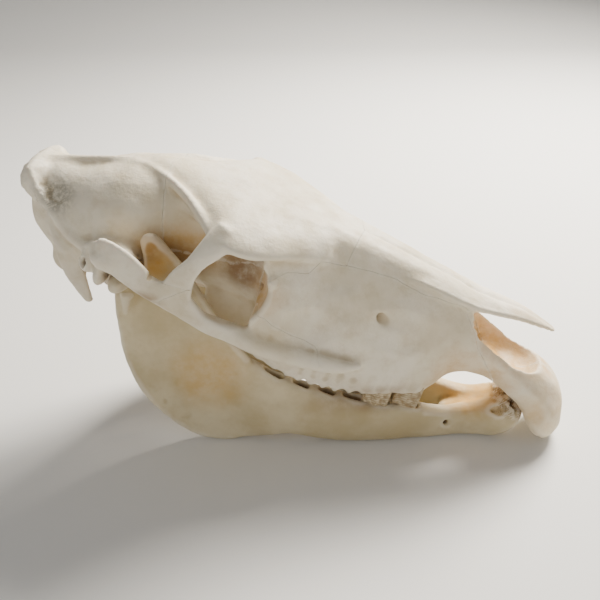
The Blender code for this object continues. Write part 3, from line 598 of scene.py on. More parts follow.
# Sutures: thin cuts along the seams where the bones meet, as lines of (x, z) points. A seam that runs across
# has its line at the midline, its line at the side, and how far out that side is.
CROSS_SEAMS = {
    "frontal": (
        [(-96, 170), (-98, 94.5), (-130, 94), (-163, 92), (-200, 86), (-262, 84), (-276, 170)],
        [(-118, 230), (-122, 151), (-140, 120), (-166, 104), (-200, 84), (-258, 82), (-250, 170)],
        125,
    ),
    "nasal": (
        [(38, 82), (22, 87.5), (6, 88), (-60, 93), (-99, 95)],
        [(38, 88), (22, 98), (6, 110), (-60, 130.5), (-115, 130)],
        75,
    ),
    "incisive": (
        [(6, 88.3), (14, 74), (30, 52), (48, 34), (60, 18), (66, -20)],
        [(6, 106), (14, 98), (30, 66), (48, 44), (60, 24), (66, -16)],
        60,
    ),
    "orbit": ([(-166, 92.4), (-169, 62)], [(-176, 102), (-176, 75)], 100),
    "maxillary tuber": (
        [(-168.9, 63), (-170, 50), (-175, 20), (-175, -40)],
        [(-173.5, 71.6), (-172, 52), (-175, 20), (-175, -40)],
        66,
    ),
}
MIDLINE = [(150, -45), (150, 150), (-97.2, 150), (-98.8, 95.2), (-130, 94.7), (-163, 92.7), (-166.9, 92.2),
           (-169.7, 62), (-170.7, 50), (-175.7, 20), (-175.7, -45)]
ZYGOMATIC = [(-224, 84.3), (-200, 78), (-176, 72), (-160, 66), (-135, 50), (-112, 42), (-104, 32), (-110, 20),
             (-140, 22), (-170, 30), (-200, 36), (-262, 44), (-264, 52)]

# A point inside each bone, by which the parted pieces are told apart.
BONES = {
    "braincase": (-310, 0, 85), "frontal": (-180, 0, 120),
    "nasal_left": (-20, 10, 100), "maxilla_left": (-80, 40, 50), "incisive_left": (90, 15, 20),
    "zygomatic_left": (-170, 80, 45),
}


# Detail that only the finished surface carries

def spread(value, low, high):
    """0 below low, 1 above high, and a smooth step between them."""
    t = np.clip((value - low) / (high - low), 0, 1)
    return t * t * (3 - 2 * t)


def noise_at(points, wavelength, seed, octaves=2):
    """Smooth noise from about -1 to 1 at points given in millimetres."""
    shift = Vector((seed * 17.3, seed * 5.1, seed * 9.7))
    return np.array([noise.fractal(Vector(p) / wavelength + shift, 0.6, 2.0, octaves) for p in points])


class Skin:
    """The vertices of a bone, in millimetres, for pushing and pulling."""

    def __init__(self, obj):
        self.mesh = obj.data
        self.pairs = edge_pairs(self.mesh)
        self.points = read_points(self.mesh) / MM

    def move(self, distance):
        self.points = self.points + vertex_normals(self.mesh) * distance[:, None]
        write_points(self.mesh, self.points * MM)

    def nearness(self, centre, radii):
        """1 at a centre on both sides of the midline, falling to 0 at the radii."""
        best = np.zeros(len(self.points))
        for side in (1, -1):
            q = (self.points - np.array(centre) * (1, side, 1)) / np.array(radii)
            best = np.maximum(best, 1 - (q * q).sum(axis=1))
        return spread(best, 0, 1)

    def swell(self, centre, radii, height):
        self.move(self.nearness(centre, radii) * height)

    def along(self, line, width):
        """1 on a line on both sides of the midline, falling off over the width."""
        near = np.full(len(self.points), 1e9)
        for side in (1, -1):
            knots = through(np.array(line, float), 4 * len(line)) * (1, side, 1)
            for a, b in zip(knots[:-1], knots[1:]):
                run = b - a
                t = np.clip(((self.points - a) @ run) / max(run @ run, 1e-9), 0, 1)
                near = np.minimum(near, np.linalg.norm(self.points - a - t[:, None] * run, axis=1))
        return np.exp(-((near / width) ** 2))

    def ridge(self, line, width, height):
        self.move(self.along(line, width) * height)

    def roughen(self, mask, wavelength, height, seed):
        chosen = np.nonzero(mask > 0.02)[0]
        distance = np.zeros(len(self.points))
        distance[chosen] = noise_at(self.points[chosen], wavelength, seed) * mask[chosen] * height
        self.move(distance)

    def blend_away(self, where, rounds):
        """Evens out a step in the surface."""
        share = 0.5 * where[:, None]
        for _ in range(rounds):
            self.points = self.points + share * (neighbour_mean(self.points, self.pairs) - self.points)
        write_points(self.mesh, self.points * MM)


ORBIT_RIM = [
    (-163, 74, 92), (-166, 76, 106), (-178, 79, 118), (-196, 82, 122), (-214, 85, 115),
    (-224, 88, 102), (-226, 90, 86), (-218, 92, 68), (-202, 92, 57), (-184, 88, 55), (-170, 80, 64),
    (-163, 75, 78), (-163, 74, 92),
]
FACIAL_CREST = [(-205, 91, 50), (-180, 90, 43), (-159, 87, 36), (-135, 82, 30), (-110, 77, 25), (-85, 69, 23)]


def detail_cranium(bone, look):
    skin = Skin(bone)
    skin.swell((-42, 46, 64), (44, 26, 24), -2.4)
    skin.swell((-122, 66, 60), (32, 24, 20), -2.6)
    skin.swell((-110, 50, 104), (30, 22, 18), -1.6)
    skin.swell((-160, 73, 99), (7, 8, 8), 2.2)
    skin.swell((-300, 52, 104), (34, 22, 30), 1.6)
    skin.swell((92, 30, 6), (26, 14, 22), -1.5)
    skin.ridge(ORBIT_RIM, 4.5, 1.5)
    skin.ridge(FACIAL_CREST, 7, 1.5)
    skin.swell((-98, 60, 7), (42, 18, 13), -3.4)
    skin.ridge([(-68, 48, 80), (-57, 51, 83), (-46, 50, 79)], 4.5, 1.6)
    skin.ridge([(-50, 51, 72), (-36, 48, 67), (-20, 43, 62)], 6, -1.4)
    skin.ridge([(x, y, z) for x, y, z, _, _ in TEMPORAL_LINE], 3.5, 1.0)
    skin.ridge([(96, 0, 85), (50, 0, 97), (0, 0, 105), (-60, 0, 122), (-97, 0, 132)], 2.2, -1.1)
    skin.ridge([(92, 4, 84), (60, 13, 92), (14, 21, 97), (-50, 27, 113)], 3.0, 0.9)
    skin.ridge([(-404, 0, 98), (-388, 0, 84), (-372, 0, 68)], 5, 1.4)
    for _, x, _, long, _ in UPPER_TEETH:
        for step in (-0.25, 0.25):
            at = x + step * long
            foot, edge = ALVEOLUS_UP(x), ALVEOLUS_HALF(at)
            skin.ridge([(at, edge, foot + 2), (at, edge, foot + 10), (at + 1, edge, foot + 22)], 3.2, 0.9)
    rear, side = skin.nearness((-394, 0, 104), (26, 50, 30)), skin.nearness((-368, 36, 104), (24, 18, 24))
    crest = np.maximum(rear, side)
    skin.roughen(crest, 7, look.crest_roughness, 3)
    skin.roughen(crest, 2.6, 0.4 * look.crest_roughness, 4)
    everywhere = np.ones(len(skin.points))
    skin.roughen(everywhere, 34, 0.7, 1)
    skin.roughen(everywhere, 9, 0.16, 2)


def cranium_holes():
    """Foramina too small for the part's solids, given for the left side."""
    clay = Clay()
    clay.pair(sweep([(-205, 72, 142, 1.6, 1.6), (-203, 68, 130, 1.6, 1.6), (-200, 64, 120, 1.6, 1.6)]))
    clay.pair(sweep([(-178, 54, 78, 3, 4), (-162, 46, 78, 2.5, 3)]))
    clay.pair(sweep([(-250, 46, 62, 4, 5), (-250, 30, 64, 3, 4)]))
    clay.pair(sweep([(-300, 26, 24, 6, 9), (-304, 22, 40, 5, 7)]))
    for x, y, z in ((-28, 49, 82), (-14, 44, 76), (-36, 49, 90), (-70, 55, 62), (24, 27, 60), (-84, 50, 108)):
        clay.pair(ball((x, y, z), (1.4, 6, 1.3)))
    for x, y, long in ((132, 6, 7), (130, 16, 7), (122, 24, 8)):
        foot = ALVEOLUS_UP(x)
        pit = [(x, y, foot - 6, 3.4, 4.2), (x - 2, y, foot + 2, 3.2, 4), (x - 5, y * 0.9, foot + 9, 2, 2.4)]
        clay.pair(sweep(pit, up=(1, 0, 0)))
    for name, x, _, long, _ in UPPER_TEETH:
        if name in KEPT_TEETH:
            continue
        foot, edge = ALVEOLUS_UP(x), ALVEOLUS_HALF(x)
        for step in (-0.26, 0.24):
            clay.pair(ball((x + step * long, edge - 1, foot - 2), (0.19 * long, 7, 9.5)))
    return clay


def shaped_cranium(look):
    bone = fused(cranium_clay().into_object("cranium"), look.voxel)
    cuts = cranium_cutters()
    cuts.take(cranium_holes())
    bone = boolean(bone, fused(cuts.into_object("cranium_cuts"), CUTTER_VOXEL), "DIFFERENCE")
    bone = fused(largest_body(bone), look.voxel)
    rounds = 14 * (CLAY_VOXEL / look.voxel) ** 2
    soften(bone, int(rounds), 10)
    detail_cranium(bone, look)
    return bone


def wander(mesh, height):
    """Moves suture points sideways together, so that the seams wander as grown ones do and still meet."""
    noise.seed_set(SUTURE_SEED)
    points = read_points(mesh)
    shifts = [noise.noise_vector(Vector(p) / (SUTURE_WAVELENGTH * MM)) * height * MM for p in points]
    write_points(mesh, points + np.array(shifts))


def seam_sheet(points, faces, look):
    """A cutter as thick as a suture, about an open surface of small triangles."""
    mesh = bpy.data.meshes.new("suture")
    mesh.from_pydata([tuple(c * MM for c in p) for p in points], [], faces)
    edit = bmesh.new()
    edit.from_mesh(mesh)
    for _ in range(9):
        bmesh.ops.triangulate(edit, faces=edit.faces)
        long = [edge for edge in edit.edges if edge.calc_length() > SUTURE_EDGE * MM]
        if not long:
            break
        bmesh.ops.subdivide_edges(edit, edges=long, cuts=1)
    bmesh.ops.triangulate(edit, faces=edit.faces)
    bmesh.ops.recalc_face_normals(edit, faces=edit.faces)
    edit.to_mesh(mesh)
    edit.free()
    wander(mesh, look.seam_wander)
    obj = bpy.data.objects.new("suture", mesh)
    bpy.context.scene.collection.objects.link(obj)
    solid = obj.modifiers.new("thick", "SOLIDIFY")
    solid.thickness = look.suture_width * MM
    solid.offset = 0
    return evaluated_copy(obj, "suture")


def seam_across(mid, side, out, look):
    """A cut from one side of the skull to the other, over the midline."""
    points, faces = [], []
    for (mid_x, mid_z), (side_x, side_z) in zip(mid, side):
        points += [(side_x, -out, side_z), (mid_x, 0, mid_z), (side_x, out, side_z)]
    for i in range(0, len(points) - 3, 3):
        for k in (i, i + 1):
            faces += [(k, k + 1, k + 4), (k, k + 4, k + 3)]
    return seam_sheet(points, faces, look)


def seam_midline(look):
    points = [(x, 0, z) for x, z in MIDLINE]
    return seam_sheet(points, [tuple(range(len(points)))], look)


def seam_round_zygomatic(side, look):
    """A cup-shaped cut that frees the cheek bone from the face and from the rear of the arch."""
    n = len(ZYGOMATIC)
    deep = [*ZYGOMATIC, np.mean(ZYGOMATIC, axis=0)]
    points = [(x, side * 125, z) for x, z in ZYGOMATIC]
    points += [(x, side * (56 - 0.1 * (x + 104)), z) for x, z in deep]
    faces = []
    for k in range(n):
        j = (k + 1) % n
        faces += [(k, j, n + j), (k, n + j, n + k), (n + k, n + j, 2 * n)]
    return seam_sheet(points, faces, look)


def loose_pieces(obj, smallest):
    """The closed surfaces of obj with at least the given number of vertices, each as an object."""
    edit = bmesh.new()
    edit.from_mesh(obj.data)
    made = []
    for body in bodies_of(edit):
        if len(body) < smallest:
            continue
        body.sort(key=lambda vert: vert.index)
        new_index = {vert.index: i for i, vert in enumerate(body)}
        faces = {face for vert in body for face in vert.link_faces}
        faces = sorted(faces, key=lambda face: face.index)
        mesh = bpy.data.meshes.new("piece")
        mesh.from_pydata([tuple(vert.co) for vert in body], [],
                         [[new_index[vert.index] for vert in face.verts] for face in faces])
        piece = bpy.data.objects.new("piece", mesh)
        bpy.context.scene.collection.objects.link(piece)
        made.append(piece)
    edit.free()
    bpy.data.objects.remove(obj, do_unlink=True)
    return made


def part_at_sutures(whole, look):
    """The bones of the cranium, by name."""
    cutters = [seam_across(mid, side, out, look) for mid, side, out in CROSS_SEAMS.values()]
    cutters += [seam_midline(look), seam_round_zygomatic(1, look), seam_round_zygomatic(-1, look)]
    for cutter in cutters:
        whole = boolean(whole, cutter, "DIFFERENCE")
    seeds = dict(BONES)
    for name, (x, y, z) in BONES.items():
        if name.endswith("_left"):
            seeds[name.replace("_left", "_right")] = (x, -y, z)
    pieces = sorted(loose_pieces(whole, SMALLEST_BONE_POINTS), key=lambda piece: -len(piece.data.vertices))
    bones = {}
    for piece in pieces:
        centre = read_points(piece.data).mean(axis=0) / MM
        name = min(seeds, key=lambda key: np.linalg.norm(centre - seeds[key]))
        if name in bones:
            bpy.data.objects.remove(piece, do_unlink=True)
            continue
        bones[name] = piece
    missing = sorted(set(seeds) - set(bones))
    if missing:
        raise RuntimeError("the sutures left no piece for " + ", ".join(missing))
    return bones


# Lower jaw, in the resting frame

JAW_TOP = Curve(
    (-40, 104), (-22, 91), (0, 77), (30, 64), (60, 54), (100, 45), (120, 42), (133, 38), (150, 34),
    (171, 33), (193, 37), (206, 43), (216, 40), (224, 32),
)
JAW_BOTTOM = Curve((-40, 1), (-20, 6), (0, 9), (20, 6), (60, 0), (190, 0), (205, 4), (216, 12), (224, 25))
JAW_MIDDLE = Curve((-40, 49), (-20, 46.5), (20, 42), (60, 37), (100, 31), (130, 25), (150, 20), (168, 14),
                   (185, 12), (205, 13), (218, 12), (224, 9))
JAW_HALF = Curve(
    (-40, 9), (-20, 11), (20, 12.5), (60, 12.5), (100, 11), (130, 9), (150, 9), (168, 11),
    (185, 13), (205, 15), (218, 13), (224, 8),
)
RAMUS_EDGE = [
    (-24, 88), (-41, 104), (-54, 128), (-68, 158), (-81, 188), (-90, 214), (-99, 229), (-107, 232),
    (-113, 226), (-113, 212), (-115, 200), (-123, 194), (-136, 192), (-141, 180), (-144, 158),
    (-146, 134), (-145, 108), (-141, 80), (-132, 55), (-118, 33), (-98, 12), (-76, 1.5), (-50, 0.5),
    (-28, 5), (-10, 9), (4, 40), (0, 66),
]


def jaw_body_section(x):
    low, high = JAW_BOTTOM(x), JAW_TOP(x)
    ring = oval(JAW_HALF(x), 0.5 * (high - low), 2.8)
    return ring + (JAW_MIDDLE(x), 0.5 * (high + low))


def ramus_across(x, z):
    """How far the ramus lies from the midline: it leans out towards the joint and the angle."""
    return 49 - 0.10 * (x + 40) + 0.022 * (z - 60)


def ramus():
    edge = through(RAMUS_EDGE, 110, closed=True)
    centre = edge.mean(0)
    rings = []
    for side, share in ((-1, 0.90), (-1, 1.0), (1, 1.0), (1, 0.90)):
        outline = centre + (edge - centre) * (0.985 if share < 1 else 1.0)
        depth = side * (4.6 if share < 1 else 2.6)
        across = np.array([ramus_across(x, z) + depth for x, z in outline])
        rings.append(np.column_stack([outline[:, 0], across, outline[:, 1]]))
    return skin_of(rings)


ANGLE_RIM = [
    (-141, 178, 4, 5), (-143, 156, 4.5, 5), (-144, 130, 5, 5.5), (-143, 105, 5.5, 6),
    (-138, 78, 6, 6.5), (-128, 54, 6.5, 7), (-113, 33, 7, 7), (-94, 15, 7, 7), (-74, 7.2, 7, 7),
    (-50, 7.0, 7, 6.8), (-26, 10, 7, 6),
]
CORONOID_RIM = [(-37, 98, 6, 5), (-51, 124, 5, 5), (-65, 156, 4, 4.5), (-78, 188, 3.5, 4), (-91, 214, 3, 3.5),
                (-104, 228, 3, 3)]
CONDYLE = [(-131, 51, 190, 6, 5), (-132, 56, 191, 9, 7.5), (-133, 65, 192, 10, 8), (-133, 77, 192.5, 9, 7.5),
           (-133, 85, 193, 6, 5.5)]


def rim_bar(stations):
    line = [(x, ramus_across(x, z), z, thick, deep) for x, z, thick, deep in stations]
    return sweep(line, up=(0, 1, 0.001))


def jaw_clay():
    clay = Clay()
    clay.pair(loft_along_x(-40, 224, jaw_body_section, 60))
    clay.pair(ramus())
    clay.pair(rim_bar(ANGLE_RIM))
    clay.pair(rim_bar(CORONOID_RIM))
    clay.pair(sweep(CONDYLE))
    clay.pair(sweep([(-130, 64, 180, 8, 12), (-134, 62, 166, 6, 9), (-138, 60, 150, 5, 6)], up=(0, 1, 0)))
    clay.add(sweep([(150, 0, 14, 12, 8), (168, 0, 16, 14, 12), (190, 0, 19, 14, 14), (206, 0, 24, 15, 15),
                    (217, 0, 28, 12, 8)]))
    return clay


# Lower cheek-tooth sockets follow the jaw's top: middle along x, length.
LOWER_SOCKETS = [(115, 27), (88, 25), (62, 25), (38, 23), (14, 23), (-11, 26)]


def jaw_cutters():
    clay = Clay()
    for x, long in LOWER_SOCKETS:
        clay.pair(socket_down(x, JAW_MIDDLE(x) - 1, JAW_TOP(x), long, 14))
    for x, y, z in ((222, 7, 40), (216, 17, 42), (205, 24, 40)):
        clay.pair(sweep([(x + 8, y * 1.15, z + 4, 4, 4), (x - 6, y * 0.95, z - 6, 3.5, 3.5)]))
    clay.pair(sweep([(156, 36, 20, 3.4, 3.4), (150, 22, 20, 2.6, 2.6)]))
    return clay


def socket_down(x, y, rim, long, wide):
    points, faces = socket(0, 0, 0, long, wide)
    points = points * (1, 1, -1) + (x, y, rim)
    return points, [tuple(reversed(f)) for f in faces]


def jaw_holes():
    clay = Clay()
    clay.pair(sweep([(160, 36, 21, 2.6, 3.2), (151, 24, 19, 3, 3.4), (140, 18, 18, 2, 2.4)]))
    clay.pair(sweep([(-92, 41, 134, 4, 6), (-84, 46, 125, 2.6, 3.4)]))
    for x, y, z in ((218, 5, 40), (213, 14, 42), (203, 21, 43)):
        mouth, middle = (x + 9, y * 1.1, z + 5, 4, 4.6), (x, y, z - 3, 3.8, 4.4)
        clay.pair(sweep([mouth, middle, (x - 9, y * 0.95, z - 12, 2.6, 3)]))
    for x, y, z in ((146, 28, 12), (171, 25, 22), (120, 42, 24), (196, 26, 30)):
        clay.pair(ball((x, y, z), (1.2, 6, 1.2)))
    return clay


def shaped_jaw(look):
    bone = fused(jaw_clay().into_object("mandible"), look.voxel)
    cuts = jaw_cutters()
    cuts.take(jaw_holes())
    bone = boolean(bone, fused(cuts.into_object("jaw_cuts"), CUTTER_VOXEL), "DIFFERENCE")
    bone = fused(largest_body(bone), look.voxel)
    rounds = 10 * (CLAY_VOXEL / look.voxel) ** 2
    soften(bone, int(rounds), 10)
    skin = Skin(bone)
    skin.swell((-96, 66, 96), (36, 11, 58), -1.8)
    skin.swell((-96, 44, 90), (34, 10, 52), -1.6)
    skin.ridge([(-122, 62, 60), (-104, 60, 84), (-84, 58, 104)], 5, 0.9)
    skin.ridge([(-104, 61, 36), (-88, 59, 58), (-70, 57, 78)], 5, 0.8)
    skin.ridge([(-76, 59, 20), (-66, 58, 40), (-54, 56, 60)], 5, 0.7)
    skin.ridge([(133, 33, 34), (150, 29, 31), (176, 26, 33), (196, 27, 38)], 3.5, 0.9)
    skin.blend_away(skin.nearness((-36, 58, 34), (26, 30, 60)), 120)
    tip = skin.nearness((214, 10, 40), (24, 34, 16))
    skin.roughen(tip, 6, 2.3, 5)
    skin.roughen(tip, 2.4, 1.1, 6)
    skin.roughen(skin.nearness((-120, 62, 40), (40, 16, 50)), 9, 0.7, 7)
    everywhere = np.ones(len(skin.points))
    skin.roughen(everywhere, 30, 0.6, 8)
    skin.roughen(everywhere, 8, 0.15, 9)
    points = read_points(bone.data)
    points[:, 2] -= points[:, 2].min()
    write_points(bone.data, points)
    return bone


# Upper premolars. The worn face of a crown: share of the outline, and height of the enamel there.
WORN_FACE = ((0.95, -0.3), (0.86, 0.4), (0.70, 0.6), (0.62, -0.3), (0.54, 0.5), (0.36, 0.1), (0.26, 0.6))


def tooth_outline(share, long, wide, count=72):
    """A ring that bulges at three ribs down the outer face and folds in once on the inner face."""
    ring = oval(0.5 * long * share, 0.5 * wide * share, 4.0, count)
    across = ring[:, 1] / (0.5 * wide * share)
    along = ring[:, 0] / (0.5 * long * share)
    outer, inner = np.clip(across, 0, 1) ** 2, np.clip(-across, 0, 1) ** 2
    ribs = np.cos(along * 2 * math.pi) * 1.3 * outer
    fold = np.exp(-((along + 0.15) / 0.2) ** 2) * 2.2 * inner
    ring[:, 1] += ribs + fold
    return ring


def cheek_tooth(x, y, long, wide, bottom, top, seed):
    """A high crown with growth lines round it and enamel ridges standing up on its worn face."""
    rng = np.random.default_rng(seed)
    rings = []
    for z in np.linspace(top, bottom, 26):
        share = 1.0 - 0.012 * rng.random() - 0.05 * max(0.0, (bottom + 3 - z) / 3) * 0.5
        ring = tooth_outline(share, long, wide)
        rings.append(np.column_stack([ring + (x, y), np.full(len(ring), z)]))
    for share, lift in WORN_FACE:
        ring = tooth_outline(share, long, wide)
        wobble = 0.15 * np.sin(np.linspace(0, 2 * math.pi, len(ring), endpoint=False) * 5 + seed)
        rings.append(np.column_stack([ring + (x, y), bottom + lift + wobble * (share < 0.9)]))
    return skin_of(rings)


# Surface masks that the finishes read

def hidden_share(points, normals, tree, reach, rays, seed):
    """How much of the sky over each point the bone around it hides, from 0 to 1."""
    rng = np.random.default_rng(seed)
    z = rng.random(rays)
    turn = rng.random(rays) * 2 * math.pi
    flat = np.sqrt(1 - z * z)
    local = np.stack([flat * np.cos(turn), flat * np.sin(turn), 0.15 + z], axis=1)
    local /= np.linalg.norm(local, axis=1)[:, None]
    side = np.cross(normals, (0.31, 0.52, 0.79))
    side /= np.linalg.norm(side, axis=1)[:, None] + 1e-9
    other = np.cross(normals, side)
    hidden = np.zeros(len(points))
    start = points + normals * 0.0006
    for a, b, c in local:
        ways = side * a + other * b + normals * c
        for i in range(len(points)):
            hit = tree.ray_cast(start[i], ways[i], reach)
            if hit[0] is not None:
                hidden[i] += 1 - hit[3] / reach
    return hidden / rays


def set_mask(mesh, name, values):
    layer = mesh.attributes.new(name, "FLOAT", "POINT")
    layer.data.foreach_set("value", np.clip(values, 0, 1).astype(np.float32))


def mask_points(obj, tree, patches, look, seed):
    """Stores masks for the painted shade in hollows and creases and the painted highlight on rims, from how
    deep each point sits and how it curves, and for patches of stain, painted glow, painted shade and
    weathering, from where it is.
    """
    mesh = obj.data
    points, normals = read_points(mesh), vertex_normals(mesh)
    pairs = edge_pairs(mesh)
    hidden = hidden_share(points, normals, tree, HOLLOW_SHADE_REACH, look.rays, seed)
    for _ in range(3):
        hidden = 0.5 * hidden + 0.5 * neighbour_mean(hidden[:, None], pairs)[:, 0]
    curve = ((neighbour_mean(points, pairs) - points) * normals).sum(axis=1) / MM
    for _ in range(4):
        curve = neighbour_mean(curve[:, None], pairs)[:, 0]
    # The hidden mask sets the painted shade in hollows. The crease mask, above 0.5 where the surface is
    # concave, sets the painted shade in creases and the painted highlight on convex rims.
    set_mask(mesh, "hidden", hidden)
    set_mask(mesh, "crease", 0.5 + curve * 6)
    where = points / MM
    for name, spots in patches.items():
        value = np.zeros(len(where))
        for centre, radii, strength in spots:
            q = (where - np.array(centre)) / np.array(radii)
            value = np.maximum(value, strength * spread(1 - np.sqrt((q * q).sum(axis=1)), 0, 0.7))
        set_mask(mesh, name, value)


# Patches of colour, in the resting frame: centre, radii and strength.
CRANIUM_PATCHES = {
    "weathered": [
        ((-194, -36, 256), (28, 20, 30), 1.0), ((-236, 0, 240), (20, 60, 40), 0.6),
        ((-194, 36, 258), (26, 18, 26), 0.8),
    ],
    "earth_and_shade": [
        # Painted shade under the rear of each zygomatic arch, over the jaw joint.
        ((-112, -86, 188), (34, 18, 13), 0.8), ((-112, 86, 188), (34, 18, 13), 0.7),
        # Painted shade deep in the orbits and at the front of the temporal fossae.
        ((-36, -50, 192), (34, 34, 34), 1.0), ((-36, 50, 192), (34, 34, 34), 1.0),
        ((-86, -46, 196), (50, 26, 30), 0.7), ((-86, 46, 196), (50, 26, 30), 0.7),
        # Painted shade at the bottom of the temporal fossae and under the skull's base.
        ((-150, -30, 178), (50, 60, 26), 0.6), ((-190, 0, 172), (34, 60, 34), 0.7),
        # Painted shade under the facial crest, along the sockets of the upper cheek teeth, partly soil in the
        # sockets.
        ((60, -50, 70), (104, 22, 14), 0.55), ((60, 50, 70), (104, 22, 14), 0.5),
    ],
    "warm_stain_glow_and_shade": [
        # Painted glow in and round the muzzle's notch, and over the palate seen in the gap before the cheek
        # teeth. Painted brownish shade at the front of the temporal fossae and in the orbits.
        ((196, 0, 92), (84, 42, 66), 1.0), ((236, -14, 44), (44, 40, 44), 0.4),
        ((168, -30, 84), (60, 20, 40), 0.5), ((-84, -48, 204), (66, 30, 40), 0.9),
        ((-84, 48, 204), (66, 30, 40), 0.9), ((-16, -60, 180), (34, 30, 30), 0.8),
        ((-16, 60, 180), (34, 30, 30), 0.8), ((30, 0, 96), (160, 34, 44), 0.6),
    ],
}
JAW_PATCHES = {
    "weathered": [((216, 0, 36), (20, 40, 24), 0.5)],
    "earth_and_shade": [
        # Soil at the broken front tip. Painted shade along the lower cheek-tooth sockets under the cranium,
        # and at the right coronoid's tip under the arch.
        ((214, 0, 38), (26, 40, 22), 0.8), ((40, -38, 52), (110, 22, 20), 0.6),
        ((40, 38, 52), (110, 22, 20), 0.6), ((-110, -60, 222), (30, 20, 20), 0.6),
    ],
    "warm_stain_glow_and_shade": [
        ((-70, -58, 84), (50, 24, 56), 0.6), ((-70, 58, 84), (50, 24, 56), 0.5),
        # Painted glow on the gap before the lower cheek teeth and on the thin tip of each coronoid process.
        ((176, 0, 36), (56, 34, 30), 1.0), ((-105, -64, 215), (34, 22, 34), 1.0),
        ((-105, 64, 215), (34, 22, 34), 1.0),
    ],
}


# Finishes

def linear(hex_colour):
    """An sRGB hex colour as linear red, green and blue."""
    parts = [int(hex_colour[i:i + 2], 16) / 255 for i in (1, 3, 5)]
    return [c / 12.92 if c <= 0.04045 else ((c + 0.055) / 1.055) ** 2.4 for c in parts]


def node(tree, kind, inputs, output=0, **settings):
    """Adds a shader node and returns one of its outputs. Its inputs are values, or outputs to link from."""
    made = tree.nodes.new(kind)
    for key, value in settings.items():
        setattr(made, key, value)
    for key, value in inputs.items():
        socket = made.inputs[key]
        if isinstance(value, bpy.types.NodeSocket):
            tree.links.new(value, socket)
        elif socket.type == "RGBA":
            socket.default_value = (*value[:3], 1.0)
        else:
            socket.default_value = value
    return made.outputs[output]


def blank_material(name):
    material = bpy.data.materials.new(name)
    material.use_nodes = True
    tree = material.node_tree
    return material, tree, tree.nodes["Principled BSDF"]


def layered(tree, colour, layers):
    """A colour with layers of others over it.

    Each layer is (pattern, low, high, weakest, strongest, mask, strength, colour, blend). It rises from its
    weakest to its strongest as the pattern goes from low to high, times the mask and the strength.
    """
    for pattern, low, high, weakest, strongest, mask, strength, over, blend in layers:
        share = node(tree, "ShaderNodeMapRange", {
            "Value": pattern, "From Min": low, "From Max": high, "To Min": weakest, "To Max": strongest,
        }, interpolation_type="SMOOTHSTEP")
        if mask is not None:
            share = node(tree, "ShaderNodeMath", {0: mask, 1: share}, operation="MULTIPLY")
        share = node(tree, "ShaderNodeMath", {0: share, 1: strength}, operation="MULTIPLY")
        colour = node(tree, "ShaderNodeMix", {0: share, 6: colour, 7: over}, output=2,
                      data_type="RGBA", blend_type=blend)
    return colour


